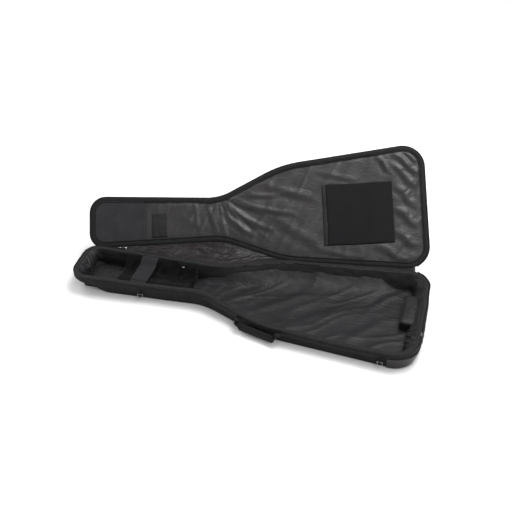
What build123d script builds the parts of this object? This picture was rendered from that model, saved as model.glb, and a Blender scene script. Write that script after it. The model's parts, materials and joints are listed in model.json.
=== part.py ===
from build123d import *
import math
import os

os.makedirs("parts", exist_ok=True)

# Padded gig bag for an electric guitar, lying on its back with the lid swung open.
# X runs along the bag from the head (-X) to the body (+X), the hinge is on +Y, the carry handle on -Y.
# The origin is in the middle of the bag's length, on its centreline, on the underside of the back.

# ---- Overall size, in millimetres
bag_length = 1050
head_half_width = 82
handle_side_waist_x = -112
handle_side_waist_half_width = 56
hinge_side_waist_x = -105
hinge_side_waist_half_width = 78
shoulder_x = 85
shoulder_half_width = 151
body_half_width = 197
head_corner_radius = 48
waist_radius = 33
shoulder_radius = 337
body_corner_radius = 66
hinge_side_height = 72
handle_side_height = 54

# ---- Layers of the shell
skin_thickness = 1.2
foam_thickness = 10
lining_thickness = 1
back_thickness = 14
lid_foam_thickness = 12
binding_thickness = 2
tape_thickness = 0.6
tape_width = 12
coil_width = 1.6
lid_gap = 0.6

# ---- Hinge
open_angle = 135.8
hinge_drop = 7
hinge_clearance = 1.0
web_start_x = -398
web_end_x = 455
web_thickness = 1
web_gap = 0.2
web_edge = 0.5
zipper_end_gap = 1.5
skirt_gap = 0.4

# ---- Inside the base
neck_rest_start_x = -392
neck_rest_length = 226
neck_rest_top = 50
neck_rest_edge_radius = 4
channel_width = 60
channel_depth = 13
channel_y = 8
strap_x = -320
strap_width = 52
strap_thickness = 1.5
strap_y = (-18, 58)
strap_root_y = (-52, -46)
flap_free_y = 30
flap_gap = 0.4
snap_radius = 5
snap_height = 2
snap_place = (-205, 52)
bumper_depth = 50
bumper_y = (-38, 98)
bumper_top = 48
bumper_radius = 6

# ---- Inside the lid, measured on the closed lid
patch_thickness = 0.9
bridge_patch_x = (222, 423)
bridge_patch_y = (-80, 111)
bridge_margin_width = 12
head_patch_end_x = -347
stitch_box_x = (-326, -278)
stitch_box_y = (-18, 60)

# ---- Pocket and grab strap on the lid's outside
pocket_inset = 26
pocket_start_x = 20
pocket_thickness = 7
pocket_zip_x = 60
pocket_zip_width = 20
pocket_zip_end_margin = 30
piping_width = 4
grab_strap_length = 110
grab_strap_width = 30
grab_strap_thickness = 3

# ---- Metal and moving hardware
pin_radius = 0.9
running_clearance = 0.35
slider_length = 14
slider_depth = 4
slider_height = 9
slider_coil_gap = 0.4
pull_length = 26
pull_width = 7
pull_thickness = 1.6
pull_eye_radius = 2.6
pull_pivot_out = 9.0
pull_pivot_down = 4
head_slider_x = -414
body_slider_y = -90
ring_wire_radius = 1.25
ring_inner_radius = 6
ring_leg = 4
ring_loop_radius = 3
ring_loop_width = 8
ring_tab_height = 13
ring_tab_width = 16
ring_tab_thickness = 1.4
ring_pivot_out = 4.4
ring_pivot_height = 23
head_ring_x = -302
body_ring_x = 432

# ---- Carry handle
handle_ends_x = (5, 158)
handle_pivot_height = 36
handle_pivot_out = 21
grip_length = 118
grip_thickness = 11
grip_height = 26
grip_drop = 3
grip_radius = 5
handle_web_width = 15
handle_web_thickness = 3
handle_anchor_height = 8
handle_anchor_gap = 0.4

# ---- Guard round the body end, and the shoulder straps in the back
guard_thickness = 1.2
guard_start_x = 446
guard_height = 39
strap_groove_depth = 8
strap_groove_gap = 1.5
shoulder_pad_x = (30, 330)
shoulder_pad_y = 60
shoulder_pad_width = 62
shoulder_pad_thickness = 6.5
shoulder_web_end_x = 470
shoulder_web_width = 25
shoulder_web_thickness = 1.8
buckle_length = 32
buckle_width = 34
buckle_thickness = 5
buckle_bar = 4
floor_clearance = 0.4

# ---- Values that follow from the ones above
half_length = bag_length / 2
wall_inset = skin_thickness + foam_thickness
cavity_inset = wall_inset + lining_thickness
binding_width = cavity_inset + 1
rim_slope = (hinge_side_height - handle_side_height) / (2 * body_half_width)
rim_tilt = math.atan(rim_slope)
rim_middle_height = (hinge_side_height + handle_side_height) / 2
floor_top = back_thickness + lining_thickness
lid_bottom = lid_gap
lid_foam_bottom = lid_bottom + binding_thickness
lid_foam_top = lid_foam_bottom + lid_foam_thickness
lid_top = lid_foam_top + skin_thickness
far_away = 4 * bag_length

rim_plane = Plane(
    origin=(0, 0, rim_middle_height),
    x_dir=(1, 0, 0),
    z_dir=(0, -math.sin(rim_tilt), math.cos(rim_tilt)),
)


# ---- The bag's outline and the solids that follow it
def outline_corners():
    return [
        (-half_length, -head_half_width, head_corner_radius),
        (handle_side_waist_x, -handle_side_waist_half_width, waist_radius),
        (shoulder_x, -shoulder_half_width, shoulder_radius),
        (half_length, -body_half_width, body_corner_radius),
        (half_length, body_half_width, body_corner_radius),
        (shoulder_x, shoulder_half_width, shoulder_radius),
        (hinge_side_waist_x, hinge_side_waist_half_width, waist_radius),
        (-half_length, head_half_width, head_corner_radius),
    ]


def inset_outline(inset):
    """Corners and corner radii of the outline moved inward by inset."""
    corners = outline_corners()
    points = []
    radii = []
    for index, (x, y, radius) in enumerate(corners):
        before = Vector(*corners[index - 1][:2])
        here = Vector(x, y)
        after = Vector(*corners[(index + 1) % len(corners)][:2])
        arriving = (here - before).normalized()
        leaving = (after - here).normalized()
        inward = Vector(-arriving.Y, arriving.X) + Vector(-leaving.Y, leaving.X)
        shift = inset / (1 + arriving.dot(leaving))
        points.append(here + inward * shift)
        turns_in = arriving.X * leaving.Y - arriving.Y * leaving.X > 0
        radii.append(radius - inset if turns_in else radius + inset)
    return points, radii


def outline_face(inset):
    points, radii = inset_outline(inset)
    return make_face(FilletPolyline(*points, radius=radii, close=True))


def slab(inset, bottom, top):
    """A plate that fills the outline, from bottom to top."""
    return Pos(0, 0, bottom) * extrude(outline_face(inset), amount=top - bottom)


def ring(outer_inset, inner_inset, bottom, top):
    """A wall that follows the outline between two insets, from bottom to top."""
    return slab(outer_inset, bottom, top) - slab(inner_inset, bottom, top)


def block(x, y, z):
    """A box given by its low and high X, Y and Z."""
    size = Box(x[1] - x[0], y[1] - y[0], z[1] - z[0])
    return Pos((x[0] + x[1]) / 2, (y[0] + y[1]) / 2, (z[0] + z[1]) / 2) * size


def rounded_block(x, y, z, radius):
    solid = block(x, y, z)
    return fillet(solid.edges(), radius)


def on_rim(shape):
    """Moves a shape from the rim's own frame, in which the rim's top is at height 0, to the bag's."""
    return rim_plane.location * shape


def below_rim(drop):
    """Everything that lies more than the given distance below the rim's top."""
    return on_rim(Pos(0, 0, -drop - far_away / 2) * Box(far_away, far_away, far_away))


def under_rim(shape, drop):
    """Cuts a shape off at the given distance below the rim's top."""
    return shape & below_rim(drop)


# ---- The hinge line: it touches the head's corner and the shoulder, a clearance outside both
def fillet_centre(index):
    """Centre of the outline's round corner."""
    points, radii = inset_outline(0)
    before = points[index - 1]
    here = points[index]
    after = points[(index + 1) % len(points)]
    to_before = (before - here).normalized()
    to_after = (after - here).normalized()
    half_angle = math.radians(to_before.get_angle(to_after)) / 2
    middle = (to_before + to_after).normalized()
    return here + middle * (radii[index] / math.sin(half_angle))


def hinge_point(x):
    """The point of the hinge line at x, in the rim's own frame."""
    shoulder = fillet_centre(5)
    head = fillet_centre(7)
    between = shoulder - head
    heading = math.atan2(between.Y, between.X)
    normal_angle = heading + math.acos((head_corner_radius - shoulder_radius) / between.length)
    normal = Vector(math.cos(normal_angle), math.sin(normal_angle))
    touch = head + normal * (head_corner_radius + hinge_clearance)
    return Vector(x, touch.Y - (x - touch.X) * normal.X / normal.Y, -hinge_drop)


def hinge_axis():
    """The hinge line in the bag's frame, pointing to the head, so that a positive turn opens the lid."""
    start = on_rim(Vertex(*tuple(hinge_point(half_length)))).center()
    end = on_rim(Vertex(*tuple(hinge_point(-half_length)))).center()
    return Axis(start, end - start)


def opened(shape):
    """Takes a piece of the lid, drawn closed in the rim's own frame, to where it is with the lid open."""
    return on_rim(shape).rotate(hinge_axis(), open_angle)


def zipper_gap_region(bottom, top, margin=0):
    """The stretch along the hinge side, between the two ends of the zipper."""
    return block((web_start_x - margin, web_end_x + margin), (0, far_away), (bottom, top))


# ---- Back of the bag
def strap_grooves():
    """The two shallow recesses in the back that the shoulder straps lie in."""
    width = shoulder_pad_width + 2 * strap_groove_gap
    start = shoulder_pad_x[0] - strap_groove_gap
    end = shoulder_web_end_x + strap_groove_gap
    grooves = []
    for side in (-1, 1):
        middle = side * shoulder_pad_y
        y = (middle - width / 2, middle + width / 2)
        grooves.append(block((start, end), y, (-1, strap_groove_depth)))
    return grooves


def back_skin():
    return slab(0, 0, skin_thickness) - strap_grooves()


def back_foam():
    return slab(skin_thickness, skin_thickness, back_thickness) - strap_grooves()


def floor_lining():
    return slab(wall_inset, back_thickness, floor_top)


# ---- Walls of the base
def wall_foam_ring():
    wall = ring(skin_thickness, wall_inset, back_thickness, hinge_side_height * 2)
    return under_rim(wall, binding_thickness)


def end_wall_regions():
    """The stretches of the wall that belong to the head end and the body end."""
    head_limit = -half_length + head_corner_radius
    body_limit = half_length - body_corner_radius
    head = block((-far_away, head_limit), (-far_away, far_away), (-far_away, far_away))
    body = block((body_limit, far_away), (-far_away, far_away), (-far_away, far_away))
    return head, body


def head_end_wall():
    head, body = end_wall_regions()
    return wall_foam_ring() & head


def body_end_wall():
    head, body = end_wall_regions()
    return wall_foam_ring() & body


def long_wall(side):
    """One long side of the wall: side is -1 for the handle side and 1 for the hinge side."""
    head, body = end_wall_regions()
    y = (0, far_away) if side > 0 else (-far_away, 0)
    half = block((-far_away, far_away), y, (-far_away, far_away))
    return (wall_foam_ring() & half) - head - body


def wall_skin():
    wall = ring(0, skin_thickness, skin_thickness, hinge_side_height * 2)
    return under_rim(wall, binding_thickness)


def wall_lining():
    wall = ring(wall_inset, cavity_inset, floor_top, hinge_side_height * 2)
    return under_rim(wall, binding_thickness)


# ---- Rim and zipper
def base_binding():
    return on_rim(ring(0, binding_width, -binding_thickness, 0))


def base_zipper_tape():
    tape = ring(-tape_thickness, 0, skin_thickness, hinge_side_height * 2)
    band = under_rim(tape, binding_thickness) - below_rim(binding_thickness + tape_width)
    return band - zipper_gap_region(0, hinge_side_height * 2, zipper_end_gap)


def base_zipper_coil():
    coil = ring(-coil_width, 0, -binding_thickness, 0)
    return on_rim(coil - zipper_gap_region(-binding_thickness - 1, 1, zipper_end_gap))


def web_outline():
    """The strip between the bag's middle and the hinge line, over the closed stretch of the hinge side."""
    start = hinge_point(web_start_x)
    end = hinge_point(web_end_x)
    corners = [
        (start.X, 0),
        (end.X, 0),
        (end.X, end.Y - web_edge),
        (start.X, start.Y - web_edge),
    ]
    return make_face(Polyline(*corners, close=True))


def base_hinge_web():
    top = -hinge_drop - web_gap
    sheet = Pos(0, 0, top - web_thickness) * extrude(web_outline(), amount=web_thickness)
    return on_rim(sheet) - slab(0, -1, hinge_side_height * 2)


# ---- Inside the base
def neck_rest():
    """A block that fills the neck from wall to wall, with a shallow channel along its top."""
    x = (neck_rest_start_x, neck_rest_start_x + neck_rest_length)
    region = block(x, (-far_away, far_away), (-far_away, far_away))
    body = slab(cavity_inset, floor_top, neck_rest_top) & region
    body = fillet(body.edges().group_by(Axis.Z)[-1], neck_rest_edge_radius)
    channel_radius = (channel_width**2 / 4 + channel_depth**2) / (2 * channel_depth)
    channel = Cylinder(channel_radius, neck_rest_length + 2, rotation=(0, 90, 0))
    height = neck_rest_top - channel_depth + channel_radius
    return body - Pos(sum(x) / 2, channel_y, height) * channel


def strap_x_range():
    return (strap_x - strap_width / 2, strap_x + strap_width / 2)


def neck_strap():
    """The fixed half of the strap, sewn on the far side of the neck rest's top."""
    return block(strap_x_range(), strap_y, (neck_rest_top, neck_rest_top + strap_thickness))


def flap_height():
    """Height of the middle of the flap that closes over the fixed half of the strap."""
    return neck_rest_top + strap_thickness + flap_gap + strap_thickness / 2


def flap_pivot_y():
    return strap_root_y[1] + flap_gap + strap_thickness / 2


def neck_strap_flap():
    """The half of the strap that lifts, with a rounded end that turns beside its root."""
    height = flap_height()
    z = (height - strap_thickness / 2, height + strap_thickness / 2)
    flap = block(strap_x_range(), (flap_pivot_y(), flap_free_y), z)
    end = Cylinder(strap_thickness / 2, strap_width, rotation=(0, 90, 0))
    return flap + Pos(strap_x, flap_pivot_y(), height) * end


def neck_strap_root():
    """The short tab, sewn on the near side of the neck rest's top, that the flap lifts from."""
    z = (neck_rest_top, flap_height() + strap_thickness / 2)
    return block(strap_x_range(), strap_root_y, z)


def neck_rest_snap():
    x, y = snap_place
    cap = Cylinder(snap_radius, snap_height)
    return Pos(x, y, neck_rest_top + snap_height / 2) * cap


def end_bumper():
    end = half_length - cavity_inset
    return rounded_block((end - bumper_depth, end), bumper_y, (floor_top, bumper_top), bumper_radius)


# ---- Lid, each piece drawn closed
def lid_binding():
    return opened(ring(0, binding_width, lid_bottom, lid_foam_bottom))


def lid_lining():
    return opened(slab(binding_width, lid_foam_bottom - lining_thickness, lid_foam_bottom))


def lid_foam():
    return opened(slab(skin_thickness, lid_foam_bottom, lid_foam_top))


def lid_skin():
    shell = slab(0, lid_foam_bottom, lid_top)
    return opened(shell - slab(skin_thickness, lid_foam_bottom - 1, lid_foam_top))


def lid_zipper_tape():
    tape = ring(-tape_thickness, 0, lid_foam_bottom, lid_foam_bottom + tape_width)
    return opened(tape - zipper_gap_region(lid_foam_bottom - 1, lid_top + 1, zipper_end_gap))


def lid_zipper_coil():
    coil = ring(-coil_width, 0, lid_bottom, lid_foam_bottom)
    return opened(coil - zipper_gap_region(lid_bottom - 1, lid_foam_bottom + 1, zipper_end_gap))


def lid_hinge_web():
    """The lid's half of the folded gusset, and the skirt that joins it to the lid's binding."""
    bottom = -hinge_drop + web_gap
    sheet = Pos(0, 0, bottom) * extrude(web_outline(), amount=web_thickness)
    sheet = sheet - slab(-skirt_gap, bottom - 1, 0)
    skirt = ring(-skirt_gap - web_thickness, -skirt_gap, bottom, lid_foam_bottom)
    seam = ring(-skirt_gap, 0, lid_bottom, lid_foam_bottom)
    return opened(sheet + ((skirt + seam) & zipper_gap_region(bottom, lid_foam_bottom)))


def lining_patch(x, y):
    """A flat patch sewn on the lid's lining."""
    face = lid_foam_bottom - lining_thickness
    return block(x, y, (face - patch_thickness, face))


def bridge_patch():
    return opened(lining_patch(bridge_patch_x, bridge_patch_y))


def bridge_margin():
    """The narrow strip beside the bridge patch, at its end nearest the waist."""
    end = bridge_patch_x[0]
    return opened(lining_patch((end - bridge_margin_width, end), bridge_patch_y))


def head_patch():
    face = lid_foam_bottom - lining_thickness
    patch = slab(binding_width, face - patch_thickness, face)
    region = block((-far_away, head_patch_end_x), (-far_away, far_away), (-far_away, far_away))
    return opened(patch & region)


def stitched_label():
    return opened(lining_patch(stitch_box_x, stitch_box_y))


def grab_strap():
    """A flat webbing strap on the outside of the lid's neck, sewn through to the stitched label."""
    x_middle = sum(stitch_box_x) / 2
    x = (x_middle - grab_strap_width / 2, x_middle + grab_strap_width / 2)
    y = (-grab_strap_length / 2, grab_strap_length / 2)
    return opened(block(x, y, (lid_top, lid_top + grab_strap_thickness)))


# ---- Pocket on the lid's outside
def pocket_region():
    return block((pocket_start_x, far_away), (-far_away, far_away), (-far_away, far_away))


def pocket_zip_y():
    """Low and high Y of the pocket's zipper, which runs across the pocket."""
    reach = shoulder_half_width - pocket_inset - pocket_zip_end_margin
    return (-reach, reach)


def pocket_zip_slot():
    x = (pocket_zip_x - pocket_zip_width / 2, pocket_zip_x + pocket_zip_width / 2)
    return block(x, pocket_zip_y(), (lid_top, lid_top + 2 * pocket_thickness))


def pocket_panel():
    panel = slab(pocket_inset + piping_width, lid_top, lid_top + pocket_thickness)
    inner = Pos(piping_width, 0, 0) * pocket_region()
    return opened((panel & inner) - pocket_zip_slot())


def pocket_piping():
    outer = slab(pocket_inset, lid_top, lid_top + piping_width) & pocket_region()
    inner = slab(pocket_inset + piping_width, lid_top, lid_top + piping_width)
    return opened(outer - (inner & (Pos(piping_width, 0, 0) * pocket_region())))


def pocket_zipper_tape():
    x = (pocket_zip_x - pocket_zip_width / 2, pocket_zip_x + pocket_zip_width / 2)
    top = lid_top + pocket_thickness - binding_thickness
    return opened(block(x, pocket_zip_y(), (lid_top, top)))


def pocket_zipper_coil():
    x = (pocket_zip_x - coil_width, pocket_zip_x + coil_width)
    bottom = lid_top + pocket_thickness - binding_thickness
    return opened(block(x, pocket_zip_y(), (bottom, bottom + coil_width)))


# ---- Zipper sliders and their pulls, drawn in a frame with X along the wall, Y out of it and Z up
def station(x, y, along):
    """A frame on the outer face of the wall at the rim: X along the wall, Y outward, Z up."""
    heading = Vector(along[0], along[1], along[1] * rim_slope).normalized()
    up = Vector(0, 0, 1) - heading * heading.Z
    return Plane(origin=(x, y, rim_middle_height + y * rim_slope), x_dir=heading, z_dir=up)


def hinge_wall_heading():
    """Direction of the hinge side's wall along the head."""
    rise = hinge_side_waist_half_width - head_half_width
    return (hinge_side_waist_x + half_length, rise)


def head_slider_place():
    """The point of the hinge side's wall where the head's slider rests."""
    run, rise = hinge_wall_heading()
    y = head_half_width + (head_slider_x + half_length) * rise / run
    return station(head_slider_x, y, (run, rise))


def body_slider_place():
    return station(half_length, body_slider_y, (0, -1))


def slider_solid():
    """A slider that hooks under the zipper's coil, with the two ears of its pull's pin."""
    face = coil_width + slider_coil_gap
    x = (-slider_length / 2, slider_length / 2)
    front = block(x, (face, face + slider_depth), (-slider_height, 0))
    lip = block(
        x,
        (tape_thickness + slider_coil_gap, face),
        (-slider_height, -binding_thickness - slider_coil_gap),
    )
    solid = front + lip
    ear_gap = pull_width / 2 + slider_coil_gap
    ear_top = -pull_pivot_down + 2 * pin_radius
    ear_bottom = -pull_pivot_down - 2 * pin_radius
    for side in (-1, 1):
        ear = block(
            (ear_gap, ear_gap + 1.5 * pin_radius),
            (face + slider_depth, pull_pivot_out + 2 * pin_radius),
            (ear_bottom, ear_top),
        )
        solid += ear if side > 0 else mirror(ear, about=Plane.YZ)
    pin = Cylinder(pin_radius, 2 * ear_gap + pin_radius, rotation=(0, 90, 0))
    return solid + Pos(0, pull_pivot_out, -pull_pivot_down) * pin


def pull_solid():
    """A flat pull that hangs from the slider's pin by its eye."""
    eye = Cylinder(pull_eye_radius, pull_width, rotation=(0, 90, 0))
    tab = block(
        (-pull_width / 2, pull_width / 2),
        (-pull_thickness / 2, pull_thickness / 2),
        (-pull_length, 0),
    )
    hole = Cylinder(pin_radius + running_clearance, 2 * pull_width, rotation=(0, 90, 0))
    return Pos(0, pull_pivot_out, -pull_pivot_down) * (eye + tab - hole)


def pocket_slider_place():
    """A frame on the pocket zipper, near its end: X along the zipper, Y out of the lid, Z up."""
    y = pocket_zip_y()[1] - slider_length
    height = lid_top + pocket_thickness - binding_thickness
    return Plane(origin=(pocket_zip_x, y, height), x_dir=(0, -1, 0), z_dir=(-1, 0, 0))


def pocket_slider():
    place = pocket_slider_place()
    face = coil_width + slider_coil_gap
    body = block(
        (-slider_length / 2, slider_length / 2),
        (face, face + slider_depth),
        (-slider_height / 2, slider_height / 2),
    )
    ear_gap = pull_width / 2 + slider_coil_gap
    for side in (-1, 1):
        ear = block(
            (ear_gap, ear_gap + 1.5 * pin_radius),
            (face + slider_depth, pull_pivot_out + 2 * pin_radius),
            (-2 * pin_radius, 2 * pin_radius),
        )
        body += ear if side > 0 else mirror(ear, about=Plane.YZ)
    pin = Cylinder(pin_radius, 2 * ear_gap + pin_radius, rotation=(0, 90, 0))
    return opened(place.location * (body + Pos(0, pull_pivot_out, 0) * pin))


def pocket_pull():
    """The pocket's pull, hanging straight down from its pin with the lid open."""
    place = pocket_slider_place()
    pivot = opened(place.location * Vertex(0, pull_pivot_out, 0)).center()
    tip = opened(place.location * Vertex(1, pull_pivot_out, 0)).center()
    heading = (tip - pivot).normalized()
    up = Vector(0, 0, 1) - heading * heading.Z
    hanging = Plane(origin=pivot, x_dir=heading, z_dir=up)
    return hanging.location * (Pos(0, -pull_pivot_out, pull_pivot_down) * pull_solid())


# ---- Rings on the handle side
def near_wall_y(x):
    """Y of the handle side's outer face at x, on its two straight stretches."""
    if x < handle_side_waist_x:
        share = (x + half_length) / (handle_side_waist_x + half_length)
        return -head_half_width + share * (head_half_width - handle_side_waist_half_width)
    share = (x - shoulder_x) / (half_length - shoulder_x)
    return -shoulder_half_width - share * (body_half_width - shoulder_half_width)


def ring_place(x):
    """A frame on the handle side's wall at the height that the ring hangs from."""
    step = 1
    y = near_wall_y(x)
    heading = Vector(-step, near_wall_y(x - step) - y)
    return Plane(origin=(x, y, ring_pivot_height), x_dir=heading, z_dir=(0, 0, 1))


def ring_tab(x):
    """A webbing tab on the wall that ends in the loop that the ring's bar turns in."""
    tab = block(
        (-ring_tab_width / 2, ring_tab_width / 2),
        (0, ring_tab_thickness),
        (ring_loop_radius, ring_loop_radius + ring_tab_height),
    )
    neck = block(
        (-ring_loop_width / 2, ring_loop_width / 2),
        (0, ring_pivot_out),
        (0, ring_loop_radius + ring_tab_thickness),
    )
    loop = Cylinder(ring_loop_radius, ring_loop_width, rotation=(0, 90, 0))
    hole = Cylinder(ring_wire_radius + running_clearance, 2 * ring_loop_width, rotation=(0, 90, 0))
    pivot = Pos(0, ring_pivot_out, 0)
    return ring_place(x).location * (tab + neck + pivot * loop - pivot * hole)


def d_ring(x):
    """A wire ring with one straight side, the bar that it hangs by."""
    centre_radius = ring_inner_radius + ring_wire_radius
    bar = Cylinder(ring_wire_radius, 2 * centre_radius, rotation=(0, 90, 0))
    bow = Torus(centre_radius, ring_wire_radius, rotation=(90, 0, 0))
    below = block((-far_away, far_away), (-far_away, far_away), (-far_away, 0))
    solid = bar + Pos(0, 0, -ring_leg) * (bow & below)
    for side in (-1, 1):
        solid += Pos(side * centre_radius, 0, -ring_leg / 2) * Cylinder(ring_wire_radius, ring_leg)
        solid += Pos(side * centre_radius, 0, 0) * Sphere(ring_wire_radius)
    return ring_place(x).location * (Pos(0, ring_pivot_out, 0) * solid)


# ---- Carry handle
def flank_y(x):
    """Y of the handle side's straight stretch between the waist and the shoulder."""
    share = (x - handle_side_waist_x) / (shoulder_x - handle_side_waist_x)
    return -handle_side_waist_half_width - share * (shoulder_half_width - handle_side_waist_half_width)


def handle_place():
    """A frame midway between the handle's ends, at its pivot: X along the handle, Y outward, Z up."""
    start = Vector(handle_ends_x[0], flank_y(handle_ends_x[0]))
    end = Vector(handle_ends_x[1], near_wall_y(handle_ends_x[1]))
    heading = (start - end).normalized()
    outward = Vector(0, 0, 1).cross(heading)
    origin = (start + end) / 2 + outward * handle_pivot_out + Vector(0, 0, handle_pivot_height)
    return Plane(origin=origin, x_dir=heading, z_dir=(0, 0, 1))


def handle_grip():
    grip = rounded_block(
        (-grip_length / 2, grip_length / 2),
        (-grip_thickness / 2, grip_thickness / 2),
        (-grip_drop - grip_height, -grip_drop),
        grip_radius,
    )
    return handle_place().location * grip


def handle_webbing():
    """The two straps that carry the grip, each turning in its anchor by its rounded top."""
    inner = grip_length / 2
    webs = []
    for side in (-1, 1):
        x = sorted((side * inner, side * (inner + handle_web_width)))
        strip = block(
            x,
            (-handle_web_thickness / 2, handle_web_thickness / 2),
            (-grip_drop - grip_height + grip_radius, 0),
        )
        top = Cylinder(handle_web_thickness / 2, handle_web_width, rotation=(0, 90, 0))
        webs.append(handle_place().location * (strip + Pos(sum(x) / 2, 0, 0) * top))
    return Compound(children=webs)


def handle_anchors():
    """The two tabs on the wall that the handle's straps hang from."""
    inner = grip_length / 2
    front = -handle_web_thickness / 2 - handle_anchor_gap
    shell = slab(0, -1, hinge_side_height * 2)
    tabs = []
    for side in (-1, 1):
        x = sorted((side * inner, side * (inner + handle_web_width)))
        z = (-handle_anchor_height / 2, handle_anchor_height / 2)
        tab = block(x, (-3 * handle_pivot_out, front), z)
        tabs.append(handle_place().location * tab - shell)
    return Compound(children=[solid for tab in tabs for solid in tab.solids()])


# ---- Guard, and the shoulder straps in the back's grooves
def end_guard():
    wrap = ring(-guard_thickness, 0, skin_thickness, guard_height)
    region = block((guard_start_x, far_away), (-far_away, far_away), (-far_away, far_away))
    return wrap & region


def shoulder_pad(side):
    y_middle = side * shoulder_pad_y
    y = (y_middle - shoulder_pad_width / 2, y_middle + shoulder_pad_width / 2)
    pad = block(shoulder_pad_x, y, (floor_clearance, floor_clearance + shoulder_pad_thickness))
    return fillet(pad.edges().filter_by(Axis.Z), shoulder_pad_width / 3)


def shoulder_webbing(side):
    y_middle = side * shoulder_pad_y
    y = (y_middle - shoulder_web_width / 2, y_middle + shoulder_web_width / 2)
    bottom = floor_clearance + (buckle_thickness - shoulder_web_thickness) / 2
    start = shoulder_pad_x[1]
    return block((start, shoulder_web_end_x), y, (bottom, bottom + shoulder_web_thickness))


def shoulder_buckle(side):
    """A ladder-lock buckle round the webbing, just past the end of its pad."""
    y_middle = side * shoulder_pad_y
    start = shoulder_pad_x[1] + buckle_length / 2
    x = (start, start + buckle_length)
    y = (y_middle - buckle_width / 2, y_middle + buckle_width / 2)
    body = block(x, y, (floor_clearance, floor_clearance + buckle_thickness))
    body = fillet(body.edges().filter_by(Axis.Z), buckle_bar / 2)
    window_y = (y[0] + buckle_bar, y[1] - buckle_bar)
    slot_length = (buckle_length - 3 * buckle_bar) / 2
    for index in range(2):
        low = x[0] + buckle_bar + index * (slot_length + buckle_bar)
        body -= block((low, low + slot_length), window_y, (-1, far_away))
    return body - shoulder_webbing(side)


# ---- Every sub-part by its node's name
def nodes():
    made = {
        "back_skin": back_skin(),
        "back_foam": back_foam(),
        "floor_lining": floor_lining(),
        "head_end_wall": head_end_wall(),
        "handle_side_wall": long_wall(-1),
        "body_end_wall": body_end_wall(),
        "hinge_side_wall": long_wall(1),
        "wall_skin": wall_skin(),
        "wall_lining": wall_lining(),
        "base_binding": base_binding(),
        "base_zipper_tape": base_zipper_tape(),
        "base_zipper_coil": base_zipper_coil(),
        "base_hinge_web": base_hinge_web(),
        "neck_rest": neck_rest(),
        "neck_strap": neck_strap(),
        "neck_strap_root": neck_strap_root(),
        "neck_strap_flap": neck_strap_flap(),
        "neck_rest_snap": neck_rest_snap(),
        "end_bumper": end_bumper(),
        "end_guard": end_guard(),
        "handle_anchors": handle_anchors(),
        "handle_webbing": handle_webbing(),
        "handle_grip": handle_grip(),
        "lid_binding": lid_binding(),
        "lid_lining": lid_lining(),
        "lid_foam": lid_foam(),
        "lid_skin": lid_skin(),
        "lid_zipper_tape": lid_zipper_tape(),
        "lid_zipper_coil": lid_zipper_coil(),
        "lid_hinge_web": lid_hinge_web(),
        "bridge_patch": bridge_patch(),
        "bridge_margin": bridge_margin(),
        "head_patch": head_patch(),
        "stitched_label": stitched_label(),
        "grab_strap": grab_strap(),
        "pocket_panel": pocket_panel(),
        "pocket_piping": pocket_piping(),
        "pocket_zipper_tape": pocket_zipper_tape(),
        "pocket_zipper_coil": pocket_zipper_coil(),
        "pocket_slider": pocket_slider(),
        "pocket_pull": pocket_pull(),
        "head_slider": head_slider_place().location * slider_solid(),
        "head_pull": head_slider_place().location * pull_solid(),
        "body_slider": body_slider_place().location * slider_solid(),
        "body_pull": body_slider_place().location * pull_solid(),
        "head_ring_tab": ring_tab(head_ring_x),
        "head_ring": d_ring(head_ring_x),
        "body_ring_tab": ring_tab(body_ring_x),
        "body_ring": d_ring(body_ring_x),
    }
    for name, side in (("handle_side", -1), ("hinge_side", 1)):
        made[f"shoulder_pad_{name}"] = shoulder_pad(side)
        made[f"shoulder_webbing_{name}"] = shoulder_webbing(side)
        made[f"shoulder_buckle_{name}"] = shoulder_buckle(side)
    return made


for node, shape in nodes().items():
    export_step(shape, f"parts/{node}.step")
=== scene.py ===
import json
import math

import bpy
import numpy as np
from mathutils import Matrix, Vector
from mathutils.geometry import delaunay_2d_cdt


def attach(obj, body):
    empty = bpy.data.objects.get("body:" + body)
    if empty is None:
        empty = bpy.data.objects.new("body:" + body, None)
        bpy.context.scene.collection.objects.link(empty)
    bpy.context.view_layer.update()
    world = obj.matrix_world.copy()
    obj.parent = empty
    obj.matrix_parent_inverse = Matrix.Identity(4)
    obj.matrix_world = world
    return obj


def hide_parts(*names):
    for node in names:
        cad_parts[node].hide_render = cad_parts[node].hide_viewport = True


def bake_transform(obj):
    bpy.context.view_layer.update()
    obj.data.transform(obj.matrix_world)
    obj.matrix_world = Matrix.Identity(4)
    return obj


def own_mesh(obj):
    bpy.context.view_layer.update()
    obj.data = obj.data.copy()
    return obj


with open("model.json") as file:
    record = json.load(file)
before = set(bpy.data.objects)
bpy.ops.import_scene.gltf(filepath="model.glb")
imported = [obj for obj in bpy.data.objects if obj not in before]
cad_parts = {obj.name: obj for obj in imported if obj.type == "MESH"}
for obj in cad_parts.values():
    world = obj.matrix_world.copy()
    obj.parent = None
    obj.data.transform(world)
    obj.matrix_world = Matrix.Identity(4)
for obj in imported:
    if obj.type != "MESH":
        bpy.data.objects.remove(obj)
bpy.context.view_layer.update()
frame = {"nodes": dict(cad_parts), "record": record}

MM = 0.001

# ---------------------------------------------------------------- sizes, in millimetres
# as in the CAD source, apart from the waist corners, which are softer here
CORNERS = [
    (-525, -82, 48),
    (-112, -56, 150),
    (85, -151, 337),
    (525, -197, 66),
    (525, 197, 66),
    (85, 151, 337),
    (-105, 78, 150),
    (-525, 82, 48),
]
RIM_MIDDLE = 63.0
RIM_SLOPE = 18.0 / 394.0
TILT = math.atan(RIM_SLOPE)
OPEN_ANGLE = math.radians(135.8)
FLOOR_TOP = 15.0
LID_FACE = 1.6
WEB_X = (-408.0, 482.0)

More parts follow.
